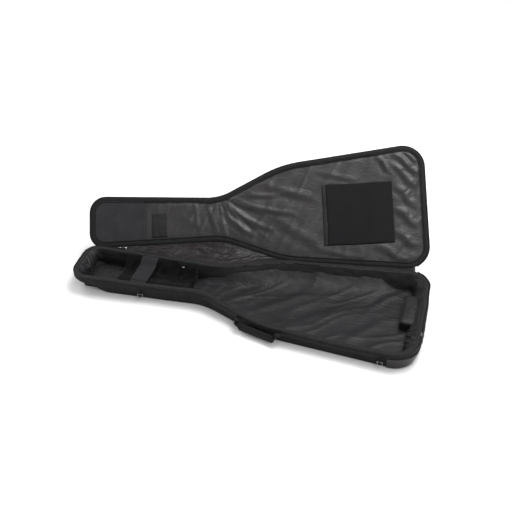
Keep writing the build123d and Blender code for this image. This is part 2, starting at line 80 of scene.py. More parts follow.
HINGE = next(j for j in frame["record"]["behaviour"]["joints"] if j["name"] == "lid_hinge")
HINGE_POINT = Vector(HINGE["pos_m"])
HINGE_AXIS = Vector(HINGE["axis"]).normalized()
OPENING = (
    Matrix.Translation(HINGE_POINT)
    @ Matrix.Rotation(OPEN_ANGLE, 4, HINGE_AXIS)
    @ Matrix.Translation(-HINGE_POINT)
)
RIM_FRAME = Matrix.Translation((0, 0, RIM_MIDDLE * MM)) @ Matrix.Rotation(TILT, 4, "X")
LID_FRAME = OPENING @ RIM_FRAME


# ---------------------------------------------------------------- smooth random numbers
def lattice(seed):
    return np.random.RandomState(seed).rand(64, 64) * 2 - 1


def noise(x, y, seed=0):
    """Smooth noise from -1 to 1 with bumps about one unit wide."""
    grid = lattice(seed)
    x0 = np.floor(x).astype(int)
    y0 = np.floor(y).astype(int)
    fx = x - x0
    fy = y - y0
    fx = fx * fx * (3 - 2 * fx)
    fy = fy * fy * (3 - 2 * fy)
    a = grid[x0 % 64, y0 % 64]
    b = grid[(x0 + 1) % 64, y0 % 64]
    c = grid[x0 % 64, (y0 + 1) % 64]
    d = grid[(x0 + 1) % 64, (y0 + 1) % 64]
    return (a * (1 - fx) + b * fx) * (1 - fy) + (c * (1 - fx) + d * fx) * fy


def ridges(x, y, angle, length, width, seed):
    """Sharp-crested folds that run at an angle in degrees, from 0 to 1."""
    a = math.radians(angle)
    along = (x * math.cos(a) + y * math.sin(a)) / length
    across = (-x * math.sin(a) + y * math.cos(a)) / width
    bent = across + 0.6 * noise(along * 1.3, across * 0.4, seed + 7)
    crest = 1 - np.abs(noise(along, bent, seed)) * 2.2
    return np.clip(crest, 0, 1) ** 1.5


def fold(x, y, start, end, width, height):
    """One soft crease from start to end that fades at both ends."""
    d = np.array(end, float) - np.array(start, float)
    length = np.hypot(*d)
    u = ((x - start[0]) * d[0] + (y - start[1]) * d[1]) / length**2
    v = (-(x - start[0]) * d[1] + (y - start[1]) * d[0]) / length
    v = v + 0.6 * width * noise(u * 3, u * 0 + start[0] * 0.01, 31)
    fade = np.clip(u, 0, 1) * np.clip(1 - u, 0, 1) * 4
    side = np.exp(-((v / width) ** 2)) - 0.5 * np.exp(-(((v - 1.7 * width) / width) ** 2))
    return height * side * fade**0.7


def smooth(t):
    t = np.clip(t, 0, 1)
    return t * t * (3 - 2 * t)


# ---------------------------------------------------------------- the outline
def inset_corners(inset):
    points = []
    n = len(CORNERS)
    for i, (x, y, r) in enumerate(CORNERS):
        before = Vector(CORNERS[i - 1][:2])
        here = Vector((x, y))
        after = Vector(CORNERS[(i + 1) % n][:2])
        a = (here - before).normalized()
        b = (after - here).normalized()
        inward = Vector((-a.y, a.x)) + Vector((-b.y, b.x))
        p = here + inward * (inset / (1 + a.dot(b)))
        convex = a.x * b.y - a.y * b.x > 0
        points.append((p, max(r - inset if convex else r + inset, 0.5), convex))
    return points


ARC_STEPS = [12, 16, 26, 16, 16, 26, 16, 12]


def straight_steps():
    pts = [Vector(c[:2]) for c in CORNERS]
    n = len(pts)
    return [max(6, int((pts[(i + 1) % n] - pts[i]).length / 5)) for i in range(n)]


STRAIGHT_STEPS = straight_steps()


def ring(inset):
    """Points round the outline, moved inward by inset: the same number of points for every inset."""
    corners = inset_corners(inset)
    n = len(corners)
    arcs = []
    for i, (p, r, convex) in enumerate(corners):
        a = (p - corners[i - 1][0]).normalized()
        b = (corners[(i + 1) % n][0] - p).normalized()
        turn = math.atan2(a.x * b.y - a.y * b.x, a.dot(b))
        cut = r * math.tan(abs(turn) / 2)
        start = p - a * cut
        side = 1 if turn > 0 else -1
        centre = start + Vector((-a.y, a.x)) * (r * side)
        angle = math.atan2(start.y - centre.y, start.x - centre.x)
        steps = ARC_STEPS[i]
        arcs.append([
            (centre.x + r * math.cos(angle + turn * k / steps),
             centre.y + r * math.sin(angle + turn * k / steps))
            for k in range(steps + 1)
        ])
    out = []
    for i in range(n):
        out += arcs[i]
        x0, y0 = arcs[i][-1]
        x1, y1 = arcs[(i + 1) % n][0]
        m = STRAIGHT_STEPS[i]
        out += [(x0 + (x1 - x0) * k / m, y0 + (y1 - y0) * k / m) for k in range(1, m)]
    return np.array(out)


OUTER = ring(0)
COUNT = len(OUTER)
STEP = np.hypot(*(np.roll(OUTER, -1, axis=0) - OUTER).T)
TRAVEL = np.concatenate([[0], np.cumsum(STEP)])


def edge_distance(x, y, loop=None):
    """Distance in millimetres to the outline, or to another closed loop."""
    loop = OUTER if loop is None else loop
    a = loop
    b = np.roll(loop, -1, axis=0)
    d = b - a
    best = np.full(np.shape(x), 1e9)
    flat_x, flat_y, flat = np.ravel(x), np.ravel(y), np.ravel(best)
    for start in range(0, flat_x.size, 4000):
        px = flat_x[start:start + 4000, None]
        py = flat_y[start:start + 4000, None]
        t = ((px - a[:, 0]) * d[:, 0] + (py - a[:, 1]) * d[:, 1]) / (d**2).sum(1)
        t = np.clip(t, 0, 1)
        dist = np.hypot(px - a[:, 0] - t * d[:, 0], py - a[:, 1] - t * d[:, 1])
        flat[start:start + 4000] = dist.min(1)
    return flat.reshape(np.shape(x))


def inside(x, y, loop):
    """True where a point is inside a closed loop."""
    hit = np.zeros(np.shape(x), bool)
    j = len(loop) - 1
    for i in range(len(loop)):
        xi, yi = loop[i]
        xj, yj = loop[j]
        if yi != yj:
            cross = ((yi > y) != (yj > y)) & (x < (xj - xi) * (y - yi) / (yj - yi) + xi)
            hit ^= cross
        j = i
    return hit


# ---------------------------------------------------------------- the base's rim, as it sags
def sag(x, y):
    """How far the open rim has sunk on the handle side, in millimetres."""
    fade = smooth((x + 470) / 260) * smooth((500 - x) / 200)
    near = smooth((-y - 20) / 60)
    return 8.5 * fade * near


def rim_height(x, y):
    return RIM_MIDDLE + RIM_SLOPE * y - sag(x, y)


def end_share(x):
    """1 at the two ends of the bag and 0 along its sides."""
    return np.maximum(smooth((x - 455) / 60), smooth((-478 - x) / 40))


# ---------------------------------------------------------------- meshes
def shade(me):
    for p in me.polygons:
        p.use_smooth = True


def make(name, verts, faces, materials, uv=None, index=None):
    me = bpy.data.meshes.new(name)
    me.from_pydata([tuple(v) for v in verts], [], [tuple(int(i) for i in f) for f in faces])
    me.validate()
    for m in materials if isinstance(materials, (list, tuple)) else [materials]:
        me.materials.append(m)
    if uv is not None:
        layer = me.uv_layers.new(name="fab")
        layer.data.foreach_set("uv", np.array(uv, float).ravel())
    if index is not None:
        me.polygons.foreach_set("material_index", index)
    shade(me)
    ob = bpy.data.objects.new(name, me)
    bpy.context.scene.collection.objects.link(ob)
    return ob


def place(points, matrix=None):
    """Millimetre points to metres, through a matrix if one is given."""
    p = np.asarray(points, float).reshape(-1, 3) * MM
    if matrix is None:
        return p
    m = np.array(matrix)
    return p @ m[:3, :3].T + m[:3, 3]


def loft(name, rows, materials, matrix=None, closed=True, wrap=False, u=None, flip=False):
    """A skin over rows of points. closed joins each row's ends, wrap joins the last row to the first."""
    rows = [np.asarray(r, float) for r in rows]
    nr, nc = len(rows), len(rows[0])
    verts = place(np.concatenate(rows), matrix)
    if u is None:
        step = np.linalg.norm(np.diff(rows[0], axis=0, append=rows[0][:1]), axis=1)
        u = np.concatenate([[0], np.cumsum(step)]) * MM
    gaps = [np.linalg.norm(rows[(i + 1) % nr] - rows[i], axis=1).mean() for i in range(nr)]
    v = np.concatenate([[0], np.cumsum(gaps)]) * MM
    faces, uv = [], []
    for i in range(nr if wrap else nr - 1):
        k = (i + 1) % nr
        for j in range(nc if closed else nc - 1):
            m = (j + 1) % nc
            face = [i * nc + j, i * nc + m, k * nc + m, k * nc + j]
            where = [(u[j], v[i]), (u[j + 1], v[i]), (u[j + 1], v[i + 1]), (u[j], v[i + 1])]
            if flip:
                face.reverse()
                where.reverse()
            faces.append(face)
            uv += where
    return make(name, verts, faces, materials, uv)


def band(name, section, materials, height, matrix=None, shift=None, columns=None, wrap=True, flip=False):
    """A strip round the outline with a closed section of (inset, local height) points.
    height(x, y) adds the rim's own height; shift moves the finished points."""
    rows = []
    for inset, z in section:
        p = ring(inset)
        if columns is not None:
            p = p[columns]
        zz = z + height(p[:, 0], p[:, 1])
        row = np.column_stack([p, zz])
        if shift is not None:
            row = shift(row)
        rows.append(row)
    return loft(name, rows, materials, matrix, closed=columns is None, wrap=wrap, flip=flip)


def flat(x, y):
    return 0 * x


def filled(name, loop, spacing, height, materials, matrix=None, up=1, thickness=None):
    """A panel that fills a closed loop of (x, y) points, with its height from a function."""
    low = loop.min(0)
    high = loop.max(0)
    xs = np.arange(low[0], high[0], spacing)
    ys = np.arange(low[1], high[1], spacing * 0.866)
    gx, gy = np.meshgrid(xs, ys)
    gx = gx + (np.arange(len(ys)) % 2)[:, None] * spacing / 2
    gx, gy = gx.ravel(), gy.ravel()
    keep = inside(gx, gy, loop)
    gx, gy = gx[keep], gy[keep]
    keep = edge_distance(gx, gy, loop) > spacing * 0.55
    gx, gy = gx[keep], gy[keep]
    n = len(loop)
    points = [Vector(p) for p in loop] + [Vector(p) for p in zip(gx, gy)]
    edges = [(i, (i + 1) % n) for i in range(n)]
    co, _, faces, _, _, _ = delaunay_2d_cdt(points, edges, [list(range(n))], 1, 1e-6)
    co = np.array([tuple(p) for p in co])
    x, y = co[:, 0], co[:, 1]
    z = height(x, y, edge_distance(x, y, loop))
    faces = [list(f) if up > 0 else list(reversed(f)) for f in faces]
    uv = [(x[i] * MM, y[i] * MM) for f in faces for i in f]
    ob = make(name, place(np.column_stack([x, y, z]), matrix), faces, materials, uv)
    if thickness:
        solid(ob, thickness)
    return ob


def solid(ob, thickness, offset=-1):
    m = ob.modifiers.new("thickness", "SOLIDIFY")
    m.thickness = thickness * MM
    m.offset = offset
    m.use_rim = True
    return ob


def sweep(name, path, section, materials, matrix=None, closed=False, up=(0, 0, 1), caps=True):
    """A section of (side, up) points carried along a path of points."""
    path = np.asarray(path, float)
    n = len(path)
    rows = []
    upv = np.array(up, float)
    for i in range(n):
        a = path[(i - 1) % n] if closed or i > 0 else path[0]
        b = path[(i + 1) % n] if closed or i < n - 1 else path[-1]
        t = b - a
        t /= np.linalg.norm(t)
        s = np.cross(t, upv)
        s /= np.linalg.norm(s)
        w = np.cross(s, t)
        rows.append([path[i] + s * p[0] + w * p[1] for p in section])
    rows = np.array(rows)
    k = len(section)
    verts = place(rows.reshape(-1, 3), matrix)
    length = np.concatenate([[0], np.cumsum(np.linalg.norm(np.diff(path, axis=0, append=path[:1]), axis=1))]) * MM
    per = np.linalg.norm(np.diff(np.array(section + section[:1], float), axis=0), axis=1)
    v = np.concatenate([[0], np.cumsum(per)]) * MM
    faces, uv = [], []
    for i in range(n if closed else n - 1):
        m = (i + 1) % n
        for j in range(k):
            q = (j + 1) % k
            faces.append([i * k + j, i * k + q, m * k + q, m * k + j])
            uv += [(length[i], v[j]), (length[i], v[j + 1]), (length[i + 1], v[j + 1]), (length[i + 1], v[j])]
    if caps and not closed:
        faces.append(list(range(k))[::-1])
        faces.append([(n - 1) * k + j for j in range(k)])
        uv += [(0, 0)] * (2 * k)
    ob = make(name, verts, faces, materials, uv)
    fix_normals(ob)
    return ob


def fix_normals(ob):
    import bmesh

    bm = bmesh.new()
    bm.from_mesh(ob.data)
    bmesh.ops.recalc_face_normals(bm, faces=bm.faces)
    bm.to_mesh(ob.data)
    bm.free()
    return ob


def circle(radius, count=10):
    return [
        (radius * math.cos(2 * math.pi * k / count), radius * math.sin(2 * math.pi * k / count))
        for k in range(count)
    ]


def strap_section(width, thickness):
    """A flat webbing section with rounded edges."""
    w, t = width / 2, thickness / 2
    return [(-w, -t * 0.4), (-w + t, -t), (-w / 3, -t), (w / 3, -t), (w - t, -t), (w, -t * 0.4),
            (w, t * 0.4), (w - t, t), (w / 3, t), (-w / 3, t), (-w + t, t), (-w, t * 0.4)]


def spline(points, count):
    """A smooth path through points."""
    p = np.asarray(points, float)
    p = np.vstack([2 * p[0] - p[1], p, 2 * p[-1] - p[-2]])
    out = []
    m = len(p) - 3
    for k in range(count):
        s = k / (count - 1) * m
        i = min(int(s), m - 1)
        t = s - i
        a, b, c, d = p[i:i + 4]
        out.append(0.5 * (2 * b + (c - a) * t + (2 * a - 5 * b + 4 * c - d) * t**2 + (3 * b - a - 3 * c + d) * t**3))
    return np.array(out)


def padded_box(name, low, high, materials, radius=7, crown=3, steps=14, matrix=None, bumps=0.6, seed=3):
    """A stuffed block: rounded edges, faces that swell, and a slight wobble."""
    low, high = np.array(low, float), np.array(high, float)
    size = high - low
    n = steps
    verts, faces, seen = [], [], {}

    def vertex(p):
        key = tuple(np.round(p, 5))
        if key not in seen:
            seen[key] = len(verts)
            verts.append(p)
        return seen[key]

    for axis in range(3):
        for side in (0, 1):
            b, c = [a for a in range(3) if a != axis]
            for i in range(n):
                for j in range(n):
                    quad = []
                    for di, dj in ((0, 0), (1, 0), (1, 1), (0, 1)):
                        p = np.zeros(3)
                        p[axis] = side
                        p[b] = (i + di) / n
                        p[c] = (j + dj) / n
                        quad.append(vertex(p))
                    if (side == 1) != (axis == 1):
                        faces.append(quad)
                    else:
                        faces.append(quad[::-1])
    p = np.array(verts) * 2 - 1
    half = size / 2
    flat_part = half - radius
    core = np.clip(p * half, -flat_part, flat_part)
    out = p * half - core
    length = np.linalg.norm(out, axis=1, keepdims=True)
    q = core + out / np.maximum(length, 1e-9) * radius * (length > 1e-9)
    swell = np.prod(np.clip(1 - np.abs(q / half) ** 2.2, 0.0, 1) + 0.0, axis=1)
    for axis in range(3):
        b, c = [a for a in range(3) if a != axis]
        amount = (1 - np.abs(q[:, b] / half[b]) ** 2.4) * (1 - np.abs(q[:, c] / half[c]) ** 2.4)
        on = np.clip((np.abs(q[:, axis]) - half[axis] * 0.8) / (half[axis] * 0.2), 0, 1)
        q[:, axis] += np.sign(q[:, axis]) * crown * amount * on
    wobble = noise(q[:, 0] / 14 + 3, q[:, 1] / 14 + q[:, 2] / 11, seed)
    q = q * (1 + 0.0 * swell[:, None]) + (q / (np.abs(q).max(1, keepdims=True) + 1e-6)) * wobble[:, None] * bumps
    q = q + (low + high) / 2
    uv = []
    for f in faces:
        span = np.ptp(q[f], axis=0)
        drop = int(np.argmin(span))
        b, c = [a for a in range(3) if a != drop]
        uv += [(q[i, b] * MM, q[i, c] * MM) for i in f]
    return fix_normals(make(name, place(q, matrix), faces, materials, uv))


# ---------------------------------------------------------------- materials
def new_material(name, color, roughness, metallic=0.0, **sockets):
    m = bpy.data.materials.new(name)
    m.use_nodes = True
    b = m.node_tree.nodes["Principled BSDF"]
    b.inputs["Base Color"].default_value = (*color, 1)
    b.inputs["Roughness"].default_value = roughness
    b.inputs["Metallic"].default_value = metallic
    for key, value in sockets.items():
        b.inputs[key.replace("_", " ")].default_value = value
    return m


def node(m, kind, **props):
    n = m.node_tree.nodes.new(kind)
    for key, value in props.items():
        setattr(n, key, value)
    return n


def link(m, a, b):
    m.node_tree.links.new(a, b)


def coordinates(m, uv=True):
    if uv:
        return node(m, "ShaderNodeUVMap", uv_map="fab").outputs["UV"]
    return node(m, "ShaderNodeTexCoord").outputs["Object"]


def noise_node(m, vec, scale, detail=3.0, distortion=0.0, stretch=None):
    if stretch is not None:
        mapping = node(m, "ShaderNodeMapping")
        mapping.inputs["Scale"].default_value = stretch
        link(m, vec, mapping.inputs["Vector"])
        vec = mapping.outputs["Vector"]
    n = node(m, "ShaderNodeTexNoise")
    n.inputs["Scale"].default_value = scale
    n.inputs["Detail"].default_value = detail
    n.inputs["Distortion"].default_value = distortion
    link(m, vec, n.inputs["Vector"])
    return n.outputs["Fac"]


def wave_node(m, vec, period, direction="X", profile="SIN"):
    w = node(m, "ShaderNodeTexWave", wave_type="BANDS", bands_direction=direction, wave_profile=profile)
    w.inputs["Scale"].default_value = 0.3142 / (period * MM)
    link(m, vec, w.inputs["Vector"])
    return w.outputs["Fac"]


def math_node(m, op, a, b):
    n = node(m, "ShaderNodeMath", operation=op)
    for i, value in enumerate((a, b)):
        if isinstance(value, (int, float)):
            n.inputs[i].default_value = value
        else:
            link(m, value, n.inputs[i])
    return n.outputs[0]


def color_mix(m, fac, a, b, low=0.35, high=0.65):
    ramp = node(m, "ShaderNodeValToRGB")
    ramp.color_ramp.elements[0].position = low
    ramp.color_ramp.elements[1].position = high
    ramp.color_ramp.elements[0].color = (*a, 1)
    ramp.color_ramp.elements[1].color = (*b, 1)
    link(m, fac, ramp.inputs["Fac"])
    link(m, ramp.outputs["Color"], m.node_tree.nodes["Principled BSDF"].inputs["Base Color"])


def bump(m, height, strength, distance, chain=None):
    b = node(m, "ShaderNodeBump")
    b.inputs["Strength"].default_value = strength
    b.inputs["Distance"].default_value = distance * MM
    link(m, height, b.inputs["Height"])
    if chain is not None:
        link(m, chain, b.inputs["Normal"])
    link(m, b.outputs["Normal"], m.node_tree.nodes["Principled BSDF"].inputs["Normal"])
    return b.outputs["Normal"]


def rough_mix(m, fac, low, high):
    r = node(m, "ShaderNodeMapRange")
    r.inputs["To Min"].default_value = low
    r.inputs["To Max"].default_value = high
    link(m, fac, r.inputs["Value"])
    link(m, r.outputs["Result"], m.node_tree.nodes["Principled BSDF"].inputs["Roughness"])


def weave(m, vec, period, strength, distance, chain=None):
    over = wave_node(m, vec, period, "X")
    under = wave_node(m, vec, period, "Y")
    return bump(m, math_node(m, "MULTIPLY", over, under), strength, distance, chain)


def woven(name, dark, light, period, roughness=0.75, sheen=0.03, strength=0.5):
    """Coarse woven nylon with slight cloudy wear."""
    m = new_material(name, dark, roughness, Sheen_Weight=sheen, Sheen_Roughness=0.5, Specular_IOR_Level=0.16)
    vec = coordinates(m)
    cloud = noise_node(m, vec, 22, 5)
    color_mix(m, cloud, dark, light)
    rough_mix(m, cloud, roughness - 0.08, roughness + 0.08)
    soft = bump(m, noise_node(m, vec, 45, 4), 0.35, 1.5)
    weave(m, vec, period, strength, 0.25, soft)
    return m


def satin(name, dark, light, roughness=0.42, gloss=0.45):
    """Thin lining nylon with a soft sheen and fine creases."""
    m = new_material(name, dark, roughness, Sheen_Weight=0.04, Sheen_Roughness=0.4, Specular_IOR_Level=gloss)
    vec = coordinates(m)
    cloud = noise_node(m, vec, 9, 4, 0.4)
    color_mix(m, cloud, dark, light, 0.3, 0.7)
    rough_mix(m, noise_node(m, vec, 30, 3), roughness - 0.07, roughness + 0.1)
    creases = noise_node(m, vec, 26, 7, 1.2, (1.0, 2.4, 1.0))
    soft = bump(m, creases, 0.55, 3.2)
    weave(m, vec, 0.9, 0.25, 0.12, soft)
    return m


def ribbed(name, color, light, period, roughness=0.62, direction="X", strength=0.6):
    """Narrow woven tape with ribs across it."""
    m = new_material(name, color, roughness, Sheen_Weight=0.03, Sheen_Roughness=0.5, Specular_IOR_Level=0.2)
    vec = coordinates(m)
    color_mix(m, noise_node(m, vec, 60, 4), color, light)
    rib = bump(m, wave_node(m, vec, period, direction), strength, 0.3)
    bump(m, noise_node(m, vec, 120, 3), 0.3, 0.6, rib)
    return m


MAT = {}
MAT["outer"] = woven("outer_nylon", (0.0055, 0.0055, 0.006), (0.010, 0.010, 0.0105), 1.3)
MAT["lining"] = satin("satin_lining", (0.013, 0.0115, 0.0125), (0.022, 0.0195, 0.021), 0.40)
# Darker copy of the lid's satin lining for the base: the darker colour is painted shade of the base's cavity.
MAT["lining_base"] = satin("satin_lining_base", (0.006, 0.0055, 0.0064), (0.0105, 0.0095, 0.011), 0.44, 0.2)
# Darker copy of the satin lining for the hinge gusset: the darker colour is painted shade in the fold between base and
# lid.
MAT["gusset"] = satin("satin_gusset_painted_shade", (0.008, 0.0066, 0.0072), (0.014, 0.0115, 0.0125), 0.36, 0.22)
MAT["binding"] = ribbed("edge_binding", (0.0035, 0.0042, 0.0038), (0.0065, 0.0075, 0.0070), 1.6)
MAT["piping"] = ribbed("dark_piping", (0.0025, 0.0025, 0.0025), (0.005, 0.005, 0.005), 1.4, 0.6)
MAT["tape"] = ribbed("zipper_tape", (0.004, 0.004, 0.004), (0.007, 0.007, 0.007), 1.0, 0.7)
MAT["coil"] = new_material("zipper_coil", (0.004, 0.004, 0.0045), 0.38, Specular_IOR_Level=0.3)
bump(MAT["coil"], noise_node(MAT["coil"], coordinates(MAT["coil"], False), 700, 2), 0.2, 0.2)
MAT["plush"] = new_material("plush", (0.0025, 0.0025, 0.003), 0.95, Sheen_Weight=0.06, Sheen_Roughness=0.35,
                            Specular_IOR_Level=0.08)
bump(MAT["plush"], noise_node(MAT["plush"], coordinates(MAT["plush"], False), 900, 4), 0.8, 1.0)
color_mix(MAT["plush"], noise_node(MAT["plush"], coordinates(MAT["plush"], False), 60, 5),
          (0.0015, 0.0015, 0.0015), (0.005, 0.005, 0.0055))
MAT["webbing"] = ribbed("webbing", (0.0070, 0.0070, 0.0085), (0.0105, 0.0105, 0.0122), 2.2, 0.7)
MAT["black_webbing"] = ribbed("black_webbing", (0.005, 0.005, 0.0055), (0.009, 0.009, 0.010), 2.2, 0.7)
MAT["patch"] = woven("patch_cloth", (0.0060, 0.0060, 0.0070), (0.0085, 0.0085, 0.0095), 1.6, 0.8, 0.02, 0.35)
MAT["head_patch"] = woven("head_patch_cloth", (0.020, 0.019, 0.022), (0.027, 0.026, 0.029), 1.6, 0.75, 0.03, 0.35)
MAT["patch_edge"] = woven("patch_margin", (0.014, 0.0135, 0.0145), (0.020, 0.019, 0.0205), 1.6, 0.6, 0.03, 0.3)
MAT["guard"] = new_material("scuff_guard", (0.010, 0.008, 0.0075), 0.34, Specular_IOR_Level=0.4)
rough_mix(MAT["guard"], noise_node(MAT["guard"], coordinates(MAT["guard"]), 40, 5), 0.26, 0.42)
bump(MAT["guard"], noise_node(MAT["guard"], coordinates(MAT["guard"]), 500, 3), 0.35, 0.35)
MAT["grip"] = woven("grip_wrap", (0.0045, 0.0045, 0.005), (0.008, 0.008, 0.009), 1.5, 0.7)
MAT["metal"] = new_material("nickel", (0.20, 0.20, 0.205), 0.24, 1.0)
rough_mix(MAT["metal"], noise_node(MAT["metal"], coordinates(MAT["metal"], False), 300, 4), 0.18, 0.34)
MAT["dark_metal"] = new_material("dark_nickel", (0.10, 0.10, 0.105), 0.3, 1.0)
rough_mix(MAT["dark_metal"], noise_node(MAT["dark_metal"], coordinates(MAT["dark_metal"], False), 300, 4), 0.22, 0.4)
MAT["thread"] = ribbed("stitching", (0.012, 0.012, 0.0125), (0.020, 0.020, 0.021), 1.0, 0.6)
MAT["plastic"] = new_material("buckle_plastic", (0.006, 0.006, 0.006), 0.5, Specular_IOR_Level=0.3)
bump(MAT["plastic"], noise_node(MAT["plastic"], coordinates(MAT["plastic"], False), 900, 3), 0.3, 0.1)
MAT["mesh"] = woven("pad_mesh", (0.006, 0.006, 0.0065), (0.011, 0.011, 0.012), 3.2, 0.85, 0.05, 1.0)


def settle(ob, body, slot, *nodes):
    """A finished piece: its body and the CAD nodes that it stands for. The slot argument is not used."""
    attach(ob, body)
    if nodes:
        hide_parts(*nodes)
    return ob


# ---------------------------------------------------------------- base: outer shell
SPINE_X = (-440, 430)
BULGE_LOW, BULGE_LOSS_AT_RIM = 10.0, 5.0
HEAD_TUCK, NECK_TUCK, HEAD_LIFT = -26.0, -4.0, 9.0


def wall_shift(row):
    """The outer wall's soft unevenness, the body end's outward bulge, and the head end's drawn-in, lifted foot."""
    x, y, z = row.T
    out = 1.3 * noise(x / 45, y / 45 + z / 30, 11) + 0.7 * noise(x / 18 + z / 9, y / 18, 12)
    centre = np.column_stack([np.clip(x, *SPINE_X), 0 * y])
    d = np.column_stack([x, y]) - centre
    d /= np.maximum(np.linalg.norm(d, axis=1, keepdims=True), 1e-6)
    rise = smooth((z - 4) / 20)
    bulge = (BULGE_LOW - BULGE_LOSS_AT_RIM * smooth((z - 30) / 15)) * smooth((x - 470) / 50) * smooth((z + 5) / 40)
    bulge = bulge * np.cos(np.clip(y / 190, -1, 1) * 1.4)
    low = 1 - smooth(z / 40)
    head = smooth((-400 - x) / 110)
    tuck = HEAD_TUCK * head * low + NECK_TUCK * smooth((-200 - x) / 200) * low
    lift = HEAD_LIFT * head * (1 - smooth((z - 4) / 36))
    amount = out * rise + tuck
    return np.column_stack([x + d[:, 0] * amount + bulge, y + d[:, 1] * amount, z + lift])


def base_walls():
    rows = []
    outer = [(11, 0.4), (8.2, 2.0), (7.0, 6), (5.6, 13), (4.0, 22), (2.4, 32)]
    for inset, z in outer:
        p = ring(inset)
        rows.append(wall_shift(np.column_stack([p, np.full(COUNT, float(z))])))
    for inset, down in ((1.0, 19), (0.2, 11), (1.0, 4)):
        p = ring(inset)
        rows.append(wall_shift(np.column_stack([p, rim_height(p[:, 0], p[:, 1]) - down])))
    for inset, down in ((4, 4), (6, 14)):
        p = ring(inset)
        rows.append(wall_shift(np.column_stack([p, rim_height(p[:, 0], p[:, 1]) - down])))
    for inset, z in ((8, 30), (10, 12), (13, 3.0)):
        p = ring(inset)
        rows.append(wall_shift(np.column_stack([p, np.full(COUNT, float(z))])))
    ob = loft("base_shell", rows, MAT["outer"], wrap=True)
    fix_normals(ob)
    settle(ob, "base", "outer_fabric", "wall_skin", "head_end_wall", "handle_side_wall",
           "body_end_wall", "hinge_side_wall")
    return ob


def cut(ob, low, high):
    """Cuts a box out of a piece."""
    low, high = np.array(low, float), np.array(high, float)
    me = bpy.data.meshes.new("cutter")
    corners = [(x, y, z) for x in (low[0], high[0]) for y in (low[1], high[1]) for z in (low[2], high[2])]
    faces = [(0, 1, 3, 2), (4, 6, 7, 5), (0, 4, 5, 1), (2, 3, 7, 6), (0, 2, 6, 4), (1, 5, 7, 3)]
    me.from_pydata([tuple(p) for p in place(corners)], [], faces)
    cutter = bpy.data.objects.new("cutter", me)
    bpy.context.scene.collection.objects.link(cutter)
    fix_normals(cutter)
    m = ob.modifiers.new("cut", "BOOLEAN")
    m.object = cutter
    m.operation = "DIFFERENCE"
    m.solver = "EXACT"
    apply_all(ob)
    bpy.data.objects.remove(cutter)
    return ob


def apply_all(ob):
    graph = bpy.context.evaluated_depsgraph_get()
    me = bpy.data.meshes.new_from_object(ob.evaluated_get(graph))
    ob.modifiers.clear()
    ob.data = me
    return ob


GROOVE_X = (28.5, 471.5)
GROOVE_HALF = 32.5
GROOVE_Y = 60.0


def base_back():
    loop = ring(11)
    back = filled("base_back", loop, 14, lambda x, y, d: 0.4 + 0 * x, MAT["outer"], up=-1)
    solid(back, 2.6, 1)
    fix_normals(back)
    apply_all(back)
    if min(v.co.z for v in back.data.vertices) < 0:
        for v in back.data.vertices:
            v.co.z += 2.6 * MM
    old = np.array([v.co for v in back.data.vertices]) / MM
    new = wall_shift(old)
    share = smooth(np.hypot(old[:, 0] - np.clip(old[:, 0], *SPINE_X), old[:, 1]) / 60)[:, None]
    new[:, :2] = old[:, :2] * (1 - share) + new[:, :2] * share
    back.data.vertices.foreach_set("co", (new * MM).ravel())
    back.data.update()
    for side in (-1, 1):
        y = side * GROOVE_Y
        cut(back, (GROOVE_X[0], y - GROOVE_HALF, -5), (GROOVE_X[1], y + GROOVE_HALF, 9))
        x0, x1 = GROOVE_X
        rows = []
        for inset, z in ((0, 1.0), (0, 7.4), (1.5, 8.6), (12, 8.8)):
            xs = (x0 + inset, x1 - inset)
            ys = (y - GROOVE_HALF + inset, y + GROOVE_HALF - inset)
            row = [(xs[0], ys[0], z), (xs[1], ys[0], z), (xs[1], ys[1], z), (xs[0], ys[1], z)]
            rows.append(row)
        rows.append([((x0 + x1) / 2 + dx * 200, y + dy * 2, 8.9) for dx, dy in ((-1, -1), (1, -1), (1, 1), (-1, 1))])
        liner = loft(f"strap_recess_{'handle' if side < 0 else 'hinge'}_side", rows, MAT["outer"])
        for p in liner.data.polygons:
            p.use_smooth = False
        solid(liner, 1.0, 1)
        settle(liner, "base", "outer_fabric")
    settle(back, "base", "outer_fabric", "back_skin", "back_foam")
    return back


# ---------------------------------------------------------------- base: rim, zipper, lining
def base_rim():
    section = [(13.6, -6.5), (13.4, -4.0), (12.0, -2.1), (9.0, -1.2), (4.5, -1.2), (1.6, -1.9),
               (-0.2, -3.0), (-0.9, -6.0), (-0.9, -10.0), (-0.2, -12.5), (2.0, -13.0), (8.0, -12.0), (12.0, -10.0)]

    def shift(row):
        x, y, z = row.T
        lift = 0.5 * noise(x / 30, y / 30, 21)
        return wall_shift(np.column_stack([x, y, z + lift * 0.6]))

    rim = band("base_rim_binding", section, MAT["binding"], rim_height, shift=shift)
    fix_normals(rim)
    settle(rim, "base", "binding", "base_binding")
    return rim


def open_path_columns():
    """Columns of the outline that the zipper runs along: all but the hinge side's closed stretch."""
    x, y = OUTER.T
    closed = (y > 0) & (x > WEB_X[0]) & (x < WEB_X[1])
    order = np.arange(COUNT)
    keep = [i for i in order if not closed[i]]
    start = max(i for i in order if closed[i]) + 1
    return np.array([(start + k) % COUNT for k in range(len(keep))])


OPEN = open_path_columns()


def base_zipper():
    tape = band("base_zipper_tape_cloth", [(-0.7, -3), (-1.5, -4), (-1.7, -9), (-1.5, -14), (-0.5, -15), (0.5, -9)],
                MAT["tape"], rim_height, shift=wall_shift, columns=OPEN)
    fix_normals(tape)
    settle(tape, "base", "zipper_tape", "base_zipper_tape")
    p = ring(-1.6)[OPEN]
    path = wall_shift(np.column_stack([p, rim_height(p[:, 0], p[:, 1]) - 1.9]))
    coil = teeth("base_zipper_teeth", path, 1.5)
    settle(coil, "base", "zipper_coil", "base_zipper_coil")
    return tape, coil


def resample(path, step):
    seg = np.linalg.norm(np.diff(path, axis=0), axis=1)
    s = np.concatenate([[0], np.cumsum(seg)])
    t = np.arange(0, s[-1], step)
    return np.column_stack([np.interp(t, s, path[:, k]) for k in range(3)])


